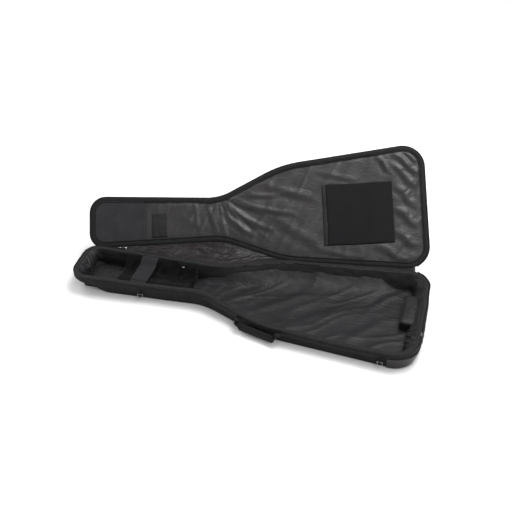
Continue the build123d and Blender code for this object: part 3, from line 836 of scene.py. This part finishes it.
def teeth(name, path, radius, matrix=None, step=2.6):
    """A zipper's coil: one small tooth after another on a cord."""
    p = resample(path, step)
    t = np.gradient(p, axis=0)
    t /= np.linalg.norm(t, axis=1, keepdims=True)
    up = np.array([0, 0, 1.0])
    s = np.cross(t, up)
    s /= np.maximum(np.linalg.norm(s, axis=1, keepdims=True), 1e-9)
    w = np.cross(s, t)
    verts, faces = [], []
    profile = [(-1, -1), (1, -1), (1.25, 0), (1, 1), (-1, 1), (-1.25, 0)]
    for i in range(len(p)):
        base = len(verts)
        for along in (-0.36, 0.36):
            for a, b in profile:
                verts.append(p[i] + t[i] * along * step + s[i] * a * radius * 0.8 + w[i] * b * radius * 0.8)
        faces += [[base + k, base + (k + 1) % 6, base + 6 + (k + 1) % 6, base + 6 + k] for k in range(6)]
        faces += [[base + k for k in range(6)][::-1], [base + 6 + k for k in range(6)]]
    count = len(p)
    core = len(verts)
    for i in range(0, count):
        for a, b in ((-0.55, -0.55), (0.55, -0.55), (0.55, 0.55), (-0.55, 0.55)):
            verts.append(p[i] + s[i] * a * radius + w[i] * b * radius)
    for i in range(count - 1):
        for k in range(4):
            q = (k + 1) % 4
            faces.append([core + i * 4 + k, core + i * 4 + q, core + (i + 1) * 4 + q, core + (i + 1) * 4 + k])
    faces += [[core + k for k in range(4)][::-1], [core + (count - 1) * 4 + k for k in range(4)]]
    return make(name, place(verts, matrix), faces, MAT["coil"])


def lining_foot(x, y):
    """How far the lining leans in at the floor: most at the ends and along the hinge side."""
    far = smooth(y / 70) * (0.45 + 0.55 * smooth((x + 150) / 120))
    return np.maximum(end_share(x), far)


def foot_ring():
    """Where the lining meets the floor."""
    top = ring(12.5)
    share = lining_foot(top[:, 0], top[:, 1])[:, None]
    return ring(17) * (1 - share) + ring(36) * share


def lining_rows(count=20):
    """Rows of the wall's lining, from the rim down to the floor, with its creases."""
    rows = []
    top = ring(12.5)
    foot = foot_ring()
    run = TRAVEL[:COUNT]
    x, y = top.T
    near = smooth((-y - 20) / 60)
    far = smooth(y / 60) * (1 - end_share(x))
    ends = end_share(x)
    inward = foot - top
    inward = inward / np.maximum(np.linalg.norm(inward, axis=1, keepdims=True), 1e-6)
    z0 = rim_height(x, y) - 3
    for k in range(count):
        t = k / (count - 1)
        roll = math.sin(math.pi * min(t * 1.1, 1)) * (2.5 + 5.0 * ends)
        lean = t ** 1.0
        p = top * (1 - lean) + foot * lean
        z = z0 + (FLOOR_TOP + 2.0 - z0) * (t ** 1.05)
        deep = ridges(run, 0 * run + t * 60, 62, 70, 22, 41) * 3.4
        fine = ridges(run, 0 * run + t * 60, 118, 40, 12, 43) * 2.2
        soft = 1.2 * noise(run / 26, 0 * run + t * 3, 44)
        strength = math.sin(math.pi * t) ** 0.7
        crease = (deep + fine) * (0.15 + 0.95 * near + 0.75 * ends) * (1 - 0.85 * far) + soft
        push = roll + (crease - 1.2) * strength
        q = p + inward * push[:, None]
        q[:, 0] += 4.0 * (1 - t) * smooth((x - 470) / 40)
        rows.append(np.column_stack([q, z + 0.4 * crease * strength]))
    return rows


def base_lining():
    rows = lining_rows()
    # The wall lining's darker satin colour is painted shade.
    walls = loft("base_wall_lining", rows, MAT["lining_base"], flip=False)
    solid(walls, 1.2, 0)
    fix_normals(walls)
    settle(walls, "base", "satin_lining", "wall_lining")
    return walls


def floor_height(x, y, d):
    edge = 1 - np.exp(-np.maximum(d, 0) / 16)
    hinge_side = smooth((y - 30) / 50) * smooth((x + 170) / 60) * smooth((440 - x) / 60)
    z = FLOOR_TOP + 1.0 + 3.0 * edge + 33.0 * hinge_side * np.exp(-(np.maximum(d - 1, 0) / 34) ** 1.3)
    body = smooth((x + 130) / 120)
    radial_x, radial_y = x + 130, y + 40
    angle = np.arctan2(radial_y, radial_x)
    far = np.hypot(radial_x, radial_y)
    fan = (1 - np.abs(noise(angle * 5.5, far / 260, 51)) * 2.0)
    z += 2.4 * np.clip(fan, 0, 1) * body * np.exp(-far / 420)
    z += 2.2 * ridges(x, y, 38, 150, 42, 52) * body
    z += 1.6 * ridges(x, y, 60, 60, 24, 53) * smooth((90 - x) / 160) * smooth((x + 170) / 60)
    z += 0.9 * ridges(x, y, 15, 50, 16, 54) * (1 - body)
    z += 0.5 * noise(x / 22, y / 22, 55)
    z += fold(x, y, (-60, -60), (60, 70), 13, 2.4)
    z += fold(x, y, (10, -90), (190, 60), 15, 2.6)
    z += fold(x, y, (130, -120), (330, 40), 18, 2.6)
    z += fold(x, y, (300, -150), (450, 10), 16, 2.2)
    z += fold(x, y, (360, 20), (440, 130), 12, 2.0)
    return z


def base_floor():
    top = ring(12.5)
    share = end_share(top[:, 0])[:, None]
    loop = ring(14.5) * (1 - share) + ring(33) * share
    # The floor pad's darker satin colour is painted shade.
    floor = filled("base_floor_pad", loop, 5.0, floor_height, MAT["lining_base"])
    solid(floor, 1.5, -1)
    settle(floor, "base", "satin_lining", "floor_lining")
    foot = foot_ring()
    edge = np.column_stack([foot, np.full(len(foot), FLOOR_TOP + 2.6)])
    seam = sweep("base_floor_piping", edge[foot[:, 0] > 395], circle(1.4, 8), MAT["piping"])
    settle(seam, "base", "binding")
    return floor


# ---------------------------------------------------------------- lid, in its closed place
LID_BODY_FOLDS = [
    ((-95, -30), (60, 60), 9, 3.2),
    ((-80, -45), (130, 10), 8, 3.0),
    ((-60, -58), (120, -60), 7, 2.4),
    ((-110, -20), (0, 75), 8, 2.8),
    ((-150, -40), (-120, 50), 7, 2.4),
    ((-190, -45), (-180, 40), 6, 1.6),
    ((30, -90), (200, -40), 12, 3.0),
    ((60, 20), (210, 110), 16, 2.6),
    ((190, -120), (330, -95), 9, 2.0),
    ((430, -175), (508, -95), 9, 3.4),
    ((455, -185), (512, -130), 7, 3.0),
    ((425, -140), (505, -50), 10, 3.0),
    ((430, -70), (500, 10), 11, 3.0),
    ((425, 0), (505, 70), 11, 3.0),
    ((415, 70), (500, 130), 12, 3.2),
    ((360, 110), (470, 175), 12, 3.0),
    ((180, 120), (330, 150), 10, 2.0),
    ((380, -165), (430, -100), 8, 2.4),
]


def lid_face_height(x, y, d):
    """Local height of the lid's lining: it swells towards the cavity, which is down when closed."""
    puff = 5.0 * (1 - np.exp(-np.maximum(d, 0) / 26))
    neck = smooth((-120 - x) / 60)
    head = smooth((-335 - x) / 25)
    angle = np.arctan2(y + 66, x + 112)
    far = np.hypot(y + 66, x + 112)
    fan = np.clip(1 - np.abs(noise(angle * 7, far / 200, 61)) * 1.9, 0, 1)
    wave = 4.6 * fan * np.exp(-((far - 95) / 100) ** 2)
    wave += 2.2 * ridges(x, y, -52, 150, 26, 62) * (1 - neck)
    wave += 1.6 * ridges(x, y, -68, 60, 16, 63) * neck * (1 - head)
    right = smooth((x - 400) / 50)
    wave += 2.6 * ridges(x, y, -46, 90, 17, 65) * right
    wave += 0.8 * noise(x / 30, y / 30, 64) * (1 - head)
    for start, end, width, height in LID_BODY_FOLDS:
        wave = wave + 1.35 * fold(x, y, start, end, width, height)
    under_patch = smooth((x - 214) / 14) * smooth((430 - x) / 10) * smooth((y + 88) / 10) * smooth((118 - y) / 10)
    wave = wave * (1 - 0.8 * under_patch)
    rim_fade = smooth(np.maximum(d, 0) / 14)
    return LID_FACE - puff * (1 - 0.75 * head) - wave * rim_fade * (1 - 0.9 * head)


def lid_face():
    loop = ring(11.5)
    face = filled("lid_lining_panel", loop, 4.6, lid_face_height, MAT["lining"], LID_FRAME, up=-1)
    solid(face, 1.2, -1)
    settle(face, "lid", "satin_lining", "lid_lining", "lid_foam")
    return face


def patch_loop(x, y, step=6.0, wobble=0.0):
    xs = np.arange(x[0], x[1], step)
    ys = np.arange(y[0], y[1], step)
    loop = [(a, y[0]) for a in xs] + [(x[1], b) for b in ys]
    loop += [(a, y[1]) for a in (x[0] + x[1] - xs)] + [(x[0], b) for b in (y[0] + y[1] - ys)]
    loop = np.array(loop, float)
    along, across = loop.T
    loop += wobble * np.column_stack([noise(across / 60, along / 200, 71), noise(along / 60, across / 200, 72)])
    return loop


def lid_distance(x, y):
    return edge_distance(x, y, LID_LOOP)


LID_LOOP = ring(11.5)


def lid_patch(name, loop, lift, material, node_name, spacing=5.0):
    def height(x, y, d):
        under = lid_face_height(x, y, lid_distance(x, y))
        soft = 0.6 * smooth(d / 5)
        return under - lift - soft - 0.3 * noise(x / 26, y / 26, 73)

    panel = filled(name, loop, spacing, height, material, LID_FRAME, up=-1)
    solid(panel, 1.0, -1)
    settle(panel, "lid", "patch_fabric", node_name)
    return panel


def stitch_row(name, loop, matrix, height, length=3.2, gap=1.6, radius=0.35, body="lid"):
    """A row of separate stitches along a closed loop of (x, y) points."""
    path = np.column_stack([loop, np.zeros(len(loop))])
    path = np.vstack([path, path[:1]])
    p = resample(path, length + gap)
    t = np.gradient(p, axis=0)
    t /= np.linalg.norm(t, axis=1, keepdims=True)
    z = height(p[:, 0], p[:, 1])
    verts, faces = [], []
    for i in range(len(p)):
        side = np.array([-t[i, 1], t[i, 0], 0])
        base = len(verts)
        for along, fat in ((-0.5, 0.4), (0, 1.0), (0.5, 0.4)):
            for k in range(4):
                a = math.pi / 2 * k
                q = p[i] + t[i] * along * length + side * math.cos(a) * radius * fat
                verts.append((q[0], q[1], z[i] + math.sin(a) * radius * fat))
        for r in (0, 4):
            ring_at = base + r
            faces += [[ring_at + k, ring_at + (k + 1) % 4, ring_at + 4 + (k + 1) % 4, ring_at + 4 + k]
                      for k in range(4)]
        faces += [[base + k for k in range(4)][::-1], [base + 8 + k for k in range(4)]]
    ob = make(name, place(verts, matrix), faces, MAT["thread"])
    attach(ob, body)
    return ob


def end_loop(inset, limit, side, joint_x, steps):
    """One end of an inset outline, beyond limit towards side, closed by a straight joint at joint_x."""
    p = ring(inset)
    beyond = side * p[:, 0] > side * limit
    first = int(np.argmax(beyond & ~np.roll(beyond, 1)))
    keep = p[[(first + k) % COUNT for k in range(int(beyond.sum()))]]
    joint = np.array([keep[-1] + (keep[0] - keep[-1]) * k / steps for k in range(1, steps)])
    joint[:, 0] = joint_x
    return np.vstack([keep, joint])


def lid_patches():
    bridge = patch_loop((222, 423), (-80, 111), wobble=1.2)
    lid_patch("bridge_patch_cloth", bridge, 1.1, MAT["patch"], "bridge_patch")
    margin = patch_loop((209, 223), (-80, 111), wobble=0.8)
    lid_patch("bridge_patch_margin", margin, 0.7, MAT["patch_edge"], "bridge_margin")
    label = patch_loop((-326, -278), (-18, 60))
    lid_patch("stitched_label_cloth", label, 0.9, MAT["patch_edge"], "stitched_label", spacing=4)
    head = end_loop(13.0, -350, -1, -347, 20)
    lid_patch("head_patch_cloth", head, 0.9, MAT["head_patch"], "head_patch")

    def above(x, y):
        return lid_face_height(x, y, lid_distance(x, y)) - 2.1

    def shrink(loop, amount):
        centre = loop.mean(0)
        half = np.ptp(loop, axis=0) / 2
        return centre + (loop - centre) * (1 - amount / half)

    for name, loop in (("bridge_patch_stitches", bridge), ("label_stitches", label)):
        stitches = stitch_row(name, shrink(loop, 3.5), LID_FRAME, above)


def lid_shell():
    section = [(13.5, 2.8), (1.5, 2.8), (-0.2, 3.6), (-0.6, 6.5), (-0.3, 10), (1.2, 13.2), (4.2, 15.4), (9, 16.4),
               (15, 16.8), (22, 17.0), (29, 17.1)]

    def shift(row):
        x, y, z = row.T
        return np.column_stack([x, y, z + 0.5 * noise(x / 40, y / 40, 81) * smooth((z - 8) / 8)])

    side = band("lid_shell_side", section, MAT["outer"], flat, LID_FRAME, shift=shift, wrap=False)
    solid(side, 1.0, -1)
    fix_normals(side)
    settle(side, "lid", "outer_fabric", "lid_skin")

    def height(x, y, d):
        swell = 17.0 + 2.2 * (1 - np.exp(-d / 40))
        return swell + 0.9 * noise(x / 60, y / 60, 82) * smooth(d / 20) + 0.5 * noise(x / 40, y / 40, 81)

    outside = filled("lid_shell_panel", ring(28), 7.0, height, MAT["outer"], LID_FRAME, up=1)
    solid(outside, 1.0, -1)
    settle(outside, "lid", "outer_fabric")
    return side, outside


def lid_rim():
    section = [(13.4, 2.6), (14.0, 1.4), (12.8, 0.6), (9.5, 0.1), (5.0, 0.1), (1.8, 0.6), (-0.3, 1.8),
               (-1.0, 3.2), (-0.6, 4.6), (4.0, 4.6), (9.0, 4.4)]

    def shift(row):
        x, y, z = row.T
        return np.column_stack([x, y, z + 0.35 * noise(x / 24, y / 24, 91)])

    rim = band("lid_rim_binding", section, MAT["binding"], flat, LID_FRAME, shift=shift)
    fix_normals(rim)
    settle(rim, "lid", "binding", "lid_binding")
    p = ring(15.6)
    inner = np.column_stack([p, 0.1 + 0.3 * noise(p[:, 0] / 24, p[:, 1] / 24, 92)])
    piping = sweep("lid_inner_piping", inner, circle(1.5, 8), MAT["piping"], LID_FRAME, closed=True)
    settle(piping, "lid", "binding")
    tape = band("lid_zipper_tape_cloth", [(-0.9, 3.4), (-1.5, 4.2), (-1.7, 8), (-1.5, 12.2), (-0.6, 13.2), (0.3, 8)],
                MAT["tape"], flat, LID_FRAME, columns=OPEN)
    fix_normals(tape)
    settle(tape, "lid", "zipper_tape", "lid_zipper_tape")
    q = ring(-1.6)[OPEN]
    coil = teeth("lid_zipper_teeth", np.column_stack([q, np.full(len(q), 2.0)]), 1.4, LID_FRAME)
    settle(coil, "lid", "zipper_coil", "lid_zipper_coil")


# ---------------------------------------------------------------- gusset between base and lid
def hinge_line(x):
    """The hinge line in the rim's own frame, in millimetres, at x."""
    start = RIM_FRAME.inverted() @ HINGE_POINT
    way = RIM_FRAME.inverted().to_3x3() @ HINGE_AXIS
    t = (x * MM - start.x) / way.x
    p = start + way * t
    return np.array([p.x, p.y, p.z]) / MM


def gusset():
    x, y = OUTER.T
    columns = np.array([i for i in range(COUNT) if y[i] > 0 and WEB_X[0] < x[i] < WEB_X[1]])
    columns = columns[np.argsort(x[columns])]
    rows = 26
    base_m = np.array(RIM_FRAME)
    lid_m = np.array(LID_FRAME)
    grid = []
    cut_widths = []
    for i in columns:
        a = np.array([x[i], y[i] - 1.0, -5.0])
        h = hinge_line(x[i])
        start = (base_m[:3, :3] @ (a * MM) + base_m[:3, 3]) / MM
        fold_at = (base_m[:3, :3] @ (h * MM) + base_m[:3, 3]) / MM
        b = np.array([x[i], y[i] - 1.0, 3.6])
        end = (lid_m[:3, :3] @ (b * MM) + lid_m[:3, 3]) / MM
        cut_widths.append(np.linalg.norm(fold_at - start) + np.linalg.norm(end - fold_at))
        line = []
        for k in range(rows):
            t = k / (rows - 1)
            p = (1 - t) ** 2 * start + 2 * t * (1 - t) * fold_at + t**2 * end
            width = np.linalg.norm(end - start)
            crumple = ridges(np.array([x[i]]), np.array([t * width]), -4, 120, 15, 101)[0] * 3.6
            crumple += ridges(np.array([x[i]]), np.array([t * width]), 28, 60, 15, 102)[0] * 2.2
            crumple += 0.9 * noise(np.array([x[i] / 26]), np.array([t * 3]), 103)[0]
            ease = math.sin(math.pi * t) * min(1, width / 40)
            p = p + np.array([0, -0.45, 0.9]) * (crumple - 2.4) * ease
            line.append(p)
        grid.append(line)
    grid = np.array(grid)
    rows_list = [grid[:, k, :] for k in range(rows)]
    # The gusset's darker satin colour is painted shade in the hinge fold.
    ob = loft("hinge_gusset", rows_list, MAT["gusset"], closed=False)
    cut_widths = np.array(cut_widths) * MM
    solid(ob, 0.6, 0)
    apply_all(ob)
    fix_normals(ob)
    for i in range(len(ob.data.materials) - 1):
        ob.data.materials.pop()
    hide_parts("base_hinge_web", "lid_hinge_web")
    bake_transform(ob)
    return ob


# ---------------------------------------------------------------- inside the base
def clipped_ring(inset, x0, x1):
    """The part of an inset outline between two X values, closed by straight ends."""
    p = ring(inset)
    low = p[(p[:, 1] < 0) & (p[:, 0] > x0) & (p[:, 0] < x1)]
    high = p[(p[:, 1] > 0) & (p[:, 0] > x0) & (p[:, 0] < x1)]
    low = low[np.argsort(low[:, 0])]
    high = high[np.argsort(high[:, 0])]

    def at(rows, x):
        return np.interp(x, rows[:, 0], rows[:, 1])

    right = np.linspace(at(low, x1), at(high, x1), 26)
    left = np.linspace(at(high, x0), at(low, x0), 26)
    return np.vstack([
        low,
        np.column_stack([np.full(26, x1), right]),
        high[::-1],
        np.column_stack([np.full(26, x0), left]),
    ])


REST_LOOP = clipped_ring(15, -393, -160)
STRAP_X = -314.0


def rest_height(x, y, d):
    kept = np.maximum(d, 11.0 * smooth((y - 20) / 20) * smooth((-164 - x) / 8) * smooth((x + 389) / 8))
    round_edge = np.sqrt(np.clip(1 - (1 - np.clip(kept / 11, 0, 1)) ** 2, 0, 1))
    top = 49.0 + 18.0 * smooth((y - 26) / 34) + 1.5 * smooth((-30 - y) / 20)
    channel = 9.0 * np.exp(-(((y - 6) / 27) ** 2) ** 1.3)
    end = smooth((x + 226) / 40)
    folds = 3.0 * ridges(x, y, 100, 50, 13, 111) * end + 2.0 * ridges(x, y, 130, 30, 9, 112) * end
    left = smooth((-350 - x) / 30)
    folds = folds + 1.6 * ridges(x, y, 85, 60, 15, 113) * left
    folds = folds + 0.8 * noise(x / 16, y / 16, 114)
    return FLOOR_TOP - 1 + (top - channel - 2.4 * end - FLOOR_TOP + folds * 0.7 - 1.5) * round_edge


def neck_rest_piece():
    ob = filled("neck_rest_plush", REST_LOOP, 3.6, rest_height, MAT["plush"])
    settle(ob, "base", "plush", "neck_rest")
    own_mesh(ob)
    snap = lathe("neck_rest_press_stud", [(0, 2.0), (2.2, 1.9), (3.6, 1.3), (4.6, 0.8), (5.0, 0.2), (4.9, -1.5)],
                 (-205, 48, 57.0), MAT["dark_metal"])
    settle(snap, "base", "metal", "neck_rest_snap")


def lathe(name, profile, centre, material, matrix=None, count=28):
    rows = []
    for r, z in profile:
        a = np.linspace(0, 2 * math.pi, count, endpoint=False)
        r = max(r, 0.01)
        rows.append(np.column_stack([centre[0] + r * np.cos(a), centre[1] + r * np.sin(a),
                                     np.full(count, centre[2] + z)]))
    ob = loft(name, rows, material, matrix)
    return fix_normals(ob)


def neck_straps():
    x = STRAP_X
    fixed = spline([(x, 66.5, 62.0), (x, 61, 65.4), (x, 52, 63.4), (x, 42, 58.2), (x, 32, 53.2),
                    (x, 20, 50.9), (x, 0, 50.3), (x, -18, 50.8)], 50)
    section = strap_section(51, 1.4)
    lower = sweep("neck_strap_fixed_half", fixed, section, MAT["webbing"])
    settle(lower, "base", "webbing", "neck_strap")
    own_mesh(lower)
    root = spline([(x, -57.5, 46.0), (x, -53, 51.4), (x, -46.5, 52.4)], 12)
    ob = sweep("neck_strap_root_tab", root, section, MAT["webbing"])
    settle(ob, "base", "webbing", "neck_strap_root")
    flap = spline([(x, -45.2, 52.65), (x, -25, 53.4), (x, 0, 52.9), (x, 15, 52.7), (x, 30, 52.9)], 30)
    ob = sweep("neck_strap_flap_cloth", flap, section, MAT["webbing"])
    settle(ob, "neck_strap_flap", "webbing", "neck_strap_flap")
    box = np.array([(x - 21, 8.0), (x + 21, 8.0), (x + 21, 27.0), (x - 21, 27.0)])
    dense = np.vstack([np.linspace(box[i], box[(i + 1) % 4], 8, endpoint=False) for i in range(4)])
    stitches = stitch_row("neck_strap_stitches", dense, None, lambda a, b: 53.75 + 0 * a, body="neck_strap_flap")


def bumper():
    # The bumper pad takes the base lining's darker satin, whose darker colour is painted shade.
    ob = padded_box("end_bumper_pad", (464, -36, 15), (511, 96, 47.5), MAT["lining_base"], 7, 2.2, 16, bumps=0.7)
    settle(ob, "base", "plush", "end_bumper")
    pad = 4.0
    x0 = 462.6
    loop = []
    y0, y1, z0, z1 = -32.0, 92.0, 19.0, 44.0
    corners = ((y1 - pad, z1 - pad, 0), (y0 + pad, z1 - pad, 90), (y0 + pad, z0 + pad, 180), (y1 - pad, z0 + pad, 270))
    for cy, cz, a0 in corners:
        for k in range(6):
            a = math.radians(a0 + 18 * k)
            loop.append((x0 + 1.2, cy + pad * math.cos(a), cz + pad * math.sin(a)))
    seam = sweep("end_bumper_piping", np.array(loop), circle(1.3, 8), MAT["piping"], closed=True, up=(1, 0, 0))
    settle(seam, "base", "binding")


# ---------------------------------------------------------------- hardware on the outside
def wall_frame(x, y, heading, z):
    """A matrix with X along the wall, Y out of it and Z up, at a point given in millimetres."""
    h = Vector((heading[0], heading[1], 0)).normalized()
    out = Vector((0, 0, 1)).cross(h)
    m = Matrix((
        (h.x, out.x, 0, x * MM),
        (h.y, out.y, 0, y * MM),
        (0, 0, 1, z * MM),
        (0, 0, 0, 1),
    ))
    return m


def near_wall(x):
    if x < -112:
        return -82 + (x + 525) / 413 * 26
    return -151 - (x - 85) / 440 * 46


def ring_tabs():
    for name, x in (("head", -302.0), ("body", 432.0)):
        y = near_wall(x)
        m = wall_frame(x, y, (-1, near_wall(x - 1) - y), 23.0)
        loop = [(0, 0.8, 16.5), (0, 0.9, 9), (0, 1.6, 5.2), (0, 3.6, 3.0), (0, 6.0, 2.2),
                (0, 7.1, 0.2), (0, 6.0, -1.9), (0, 4.4, -2.5), (0, 2.6, -1.6), (0, 1.9, 0.4),
                (0, 2.0, 2.2), (0, 0.9, 3.8), (0, 0.4, 7)]
        section = strap_section(9.5, 1.0)
        strap = sweep(f"{name}_ring_loop", spline(loop, 60), section, MAT["black_webbing"], m, up=(1, 0, 0))
        settle(strap, "base", "webbing", f"{name}_ring_tab")


def handle():
    start = np.array([5.0, -56 - (5 + 112) / 197 * 95])
    end = np.array([158.0, near_wall(158.0)])
    heading = start - end
    heading /= np.hypot(*heading)
    out = np.array([-heading[1], heading[0]])
    middle = (start + end) / 2 + out * 21.0
    m = wall_frame(middle[0], middle[1], heading, 36.0)
    half = 59.0
    rows = []
    count = 34
    for k in range(count + 1):
        s = -half + 2 * half * k / count
        u = abs(s) / half
        end_round = math.sqrt(max(1 - max((u - 0.86) / 0.14, 0) ** 2, 0.0))
        tall = (12.6 - 1.2 * u**2) * (0.55 + 0.45 * end_round)
        thick = (5.4 - 0.6 * u**2) * (0.35 + 0.65 * end_round)
        row = []
        for j in range(24):
            a = 2 * math.pi * j / 24
            c, d = math.cos(a), math.sin(a)
            py = thick * math.copysign(abs(c) ** 0.7, c)
            pz = tall * math.copysign(abs(d) ** 0.75, d)
            bump_out = 0.5 * noise(np.array([s / 9]), np.array([a * 2]), 121)[0]
            row.append((s, py * (1 + bump_out * 0.12), -16.0 + pz + bump_out * 0.4))
        rows.append(row)
    grip = loft("carry_handle_grip", rows, MAT["grip"], m)
    fix_normals(grip)
    cap_ends(grip, 24)
    settle(grip, "carry_handle", "grip", "handle_grip")
    seam_path = spline([(-half + 6, -5.9, -17), (-20, -6.1, -16.5), (20, -6.1, -16.5), (half - 6, -5.9, -17)], 30)
    seam = sweep("carry_handle_seam", seam_path, circle(0.7, 6), MAT["thread"], m)
    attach(seam, "carry_handle")
    for side in (-1, 1):
        name = "head" if side > 0 else "body"
        strip = spline([(side * (half - 12), 0, -15), (side * half, 0, -12.5),
                        (side * (half + 7.5), 0, -6.5), (side * (half + 7.5), 0, 0.4)], 26)
        section = [(b, a) for a, b in strap_section(14, 2.6)]
        strap = sweep(f"carry_handle_strap_{name}_side", strip, section, MAT["black_webbing"], m, up=(0, 1, 0))
        settle(strap, "carry_handle", "webbing", "handle_webbing")
        wall_y = -19.0
        anchor = spline([(side * (half + 7.5), -2.6, 2.4), (side * (half + 7.5), -3.4, -1.5),
                         (side * (half + 7.8), -8, -1.0), (side * (half + 8.5), wall_y, 1.5),
                         (side * (half + 9), wall_y - 4, 4.0)], 24)
        tab = sweep(f"handle_anchor_{name}_side", anchor, strap_section(14, 2.4), MAT["black_webbing"], m)
        settle(tab, "base", "webbing", "handle_anchors")


def cap_ends(ob, k):
    import bmesh

    bm = bmesh.new()
    bm.from_mesh(ob.data)
    edges = [e for e in bm.edges if e.is_boundary]
    bmesh.ops.holes_fill(bm, edges=edges, sides=k)
    bmesh.ops.recalc_face_normals(bm, faces=bm.faces)
    bm.to_mesh(ob.data)
    bm.free()
    shade(ob.data)


GUARD_X = 446


def guard():
    columns = np.where(OUTER[:, 0] > GUARD_X)[0]
    rows = []
    for inset, z in ((9.5, 1.0), (6.9, 2.0), (5.6, 6), (4.2, 13), (2.6, 22), (1.0, 32), (0.2, 38)):
        p = ring(inset - 1.4)[columns]
        rows.append(wall_shift(np.column_stack([p, np.full(len(p), float(z))])))
    ob = loft("body_end_guard", rows, MAT["guard"], closed=False)
    solid(ob, 1.2, 0)
    fix_normals(ob)
    settle(ob, "base", "guard", "end_guard")
    top = rows[-1]
    seam = sweep("body_end_guard_edge", np.asarray(top), circle(1.2, 8), MAT["piping"])
    settle(seam, "base", "binding")


# ---------------------------------------------------------------- outside of the lid and the straps
POCKET_X = 20.0


def pocket():
    loop = end_loop(28, POCKET_X, 1, POCKET_X, 40)

    def height(x, y, d):
        puff = 8.0 * np.sqrt(np.clip(1 - (1 - np.clip(d / 30, 0, 1)) ** 2, 0, 1))
        dip = 2.6 * np.exp(-(((x - 60) / 9) ** 2)) * smooth((100 - np.abs(y)) / 8)
        folds = 1.3 * ridges(x, y, 25, 120, 40, 131) + 0.7 * noise(x / 35, y / 35, 132)
        return 17.0 + puff + folds * smooth(d / 20) - dip

    ob = filled("lid_pocket_panel", loop, 6.0, height, MAT["outer"], LID_FRAME, up=1)
    solid(ob, 1.2, -1)
    settle(ob, "lid", "outer_fabric", "pocket_panel")
    edge = end_loop(27.5, POCKET_X, 1, POCKET_X, 40)
    path = np.column_stack([edge, np.full(len(edge), 18.6)])
    piping = sweep("lid_pocket_piping", path, circle(2.0, 10), MAT["piping"], LID_FRAME, closed=True)
    settle(piping, "lid", "binding", "pocket_piping")
    z = 22.6
    tape_path = np.array([(60, -94 + 188 * k / 30, z) for k in range(31)])
    tape = sweep("lid_pocket_zipper_tape", tape_path, strap_section(18, 1.0), MAT["tape"], LID_FRAME)
    settle(tape, "lid", "zipper_tape", "pocket_zipper_tape")
    coil = teeth("lid_pocket_zipper_teeth", tape_path + np.array([0, 0, 0.6]), 1.4, LID_FRAME)
    settle(coil, "lid", "zipper_coil", "pocket_zipper_coil")


def grab():
    x = -302.0
    path = spline([(x, -55, 17.8), (x, -42, 18.2), (x, -20, 21.0), (x, 0, 22.0), (x, 20, 21.0),
                   (x, 42, 18.2), (x, 55, 17.8)], 40)
    ob = sweep("lid_grab_strap", path, strap_section(29, 2.4), MAT["black_webbing"], LID_FRAME)
    settle(ob, "lid", "webbing", "grab_strap")


def shoulder_straps():
    for side, name in ((-1, "handle_side"), (1, "hinge_side")):
        y = side * GROOVE_Y
        ob = padded_box(f"shoulder_pad_{name}_cloth", (31, y - 30, 0.5), (329, y + 30, 6.8), MAT["mesh"],
                        3.0, 0.0, 20, bumps=0.1, seed=5)
        settle(ob, "base", "pad_mesh", f"shoulder_pad_{name}")
        path = np.array([(322 + 148 * k / 24, y, 2.9 + 0.2 * math.sin(k)) for k in range(25)])
        web = sweep(f"shoulder_strap_{name}_cloth", path, strap_section(25, 1.8), MAT["black_webbing"])
        settle(web, "base", "webbing", f"shoulder_webbing_{name}")


# ---------------------------------------------------------------- build
base_walls()
base_back()
base_rim()
base_zipper()
base_lining()
base_floor()
lid_face()
lid_patches()
lid_shell()
lid_rim()
gusset()
neck_rest_piece()
neck_straps()
bumper()
ring_tabs()
handle()
guard()
pocket()
grab()
shoulder_straps()

# CAD nodes whose shape is right keep it and get a material
FINISH = {
    "dark_metal": ["head_slider", "head_pull", "body_slider", "body_pull", "pocket_slider", "pocket_pull"],
    "metal": ["head_ring", "body_ring"],
    "plastic": ["shoulder_buckle_handle_side", "shoulder_buckle_hinge_side"],
}
for finish, node_names in FINISH.items():
    for node_name in node_names:
        ob = frame["nodes"][node_name]
        ob.data.materials.clear()
        ob.data.materials.append(MAT[finish])


# ---------------------------------------------------------------- floor, light and camera
def studio():
    me = bpy.data.meshes.new("floor")
    size = 9.0
    me.from_pydata([(-size, -size, 0), (size, -size, 0), (size, size, 0), (-size, size, 0)], [], [(0, 1, 2, 3)])
    floor = bpy.data.objects.new("studio_floor", me)
    bpy.context.scene.collection.objects.link(floor)
    floor.location.z = -0.0005
    m = new_material("studio_floor", (0.92, 0.92, 0.92), 0.9)
    me.materials.append(m)
    world = bpy.data.worlds.new("studio")
    bpy.context.scene.world = world
    world.use_nodes = True
    world.node_tree.nodes["Background"].inputs["Color"].default_value = (1, 1, 1, 1)
    world.node_tree.nodes["Background"].inputs["Strength"].default_value = 0.62

    def lamp(name, place_at, target, size, power):
        light = bpy.data.lights.new(name, "AREA")
        light.shape = "RECTANGLE"
        light.size = size[0]
        light.size_y = size[1]
        light.energy = power
        ob = bpy.data.objects.new(name, light)
        ob.location = place_at
        way = Vector(target) - Vector(place_at)
        ob.rotation_euler = way.to_track_quat("-Z", "Y").to_euler()
        bpy.context.scene.collection.objects.link(ob)

    lamp("key", (0.9, 0.9, 3.0), (0.0, 0.05, 0.1), (2.2, 2.0), 95)
    lamp("side", (-2.4, 1.4, 2.0), (0, 0.1, 0.1), (0.6, 2.2), 26)
    lamp("fill", (1.6, -1.8, 2.8), (0.1, 0, 0.1), (2.0, 2.0), 24)


def camera():
    cam = bpy.data.cameras.new("camera")
    cam.lens = 61.83
    cam.sensor_width = 36
    cam.dof.use_dof = False
    ob = bpy.data.objects.new("camera", cam)
    bpy.context.scene.collection.objects.link(ob)
    ob.location = (0.56644, -2.00436, 1.60218)
    back = Vector((0.21057, -0.79587, 0.56768))
    ob.rotation_euler = (-back).to_track_quat("-Z", "Y").to_euler()
    bpy.context.scene.camera = ob


studio()
camera()
bpy.context.scene.view_settings.view_transform = "Standard"
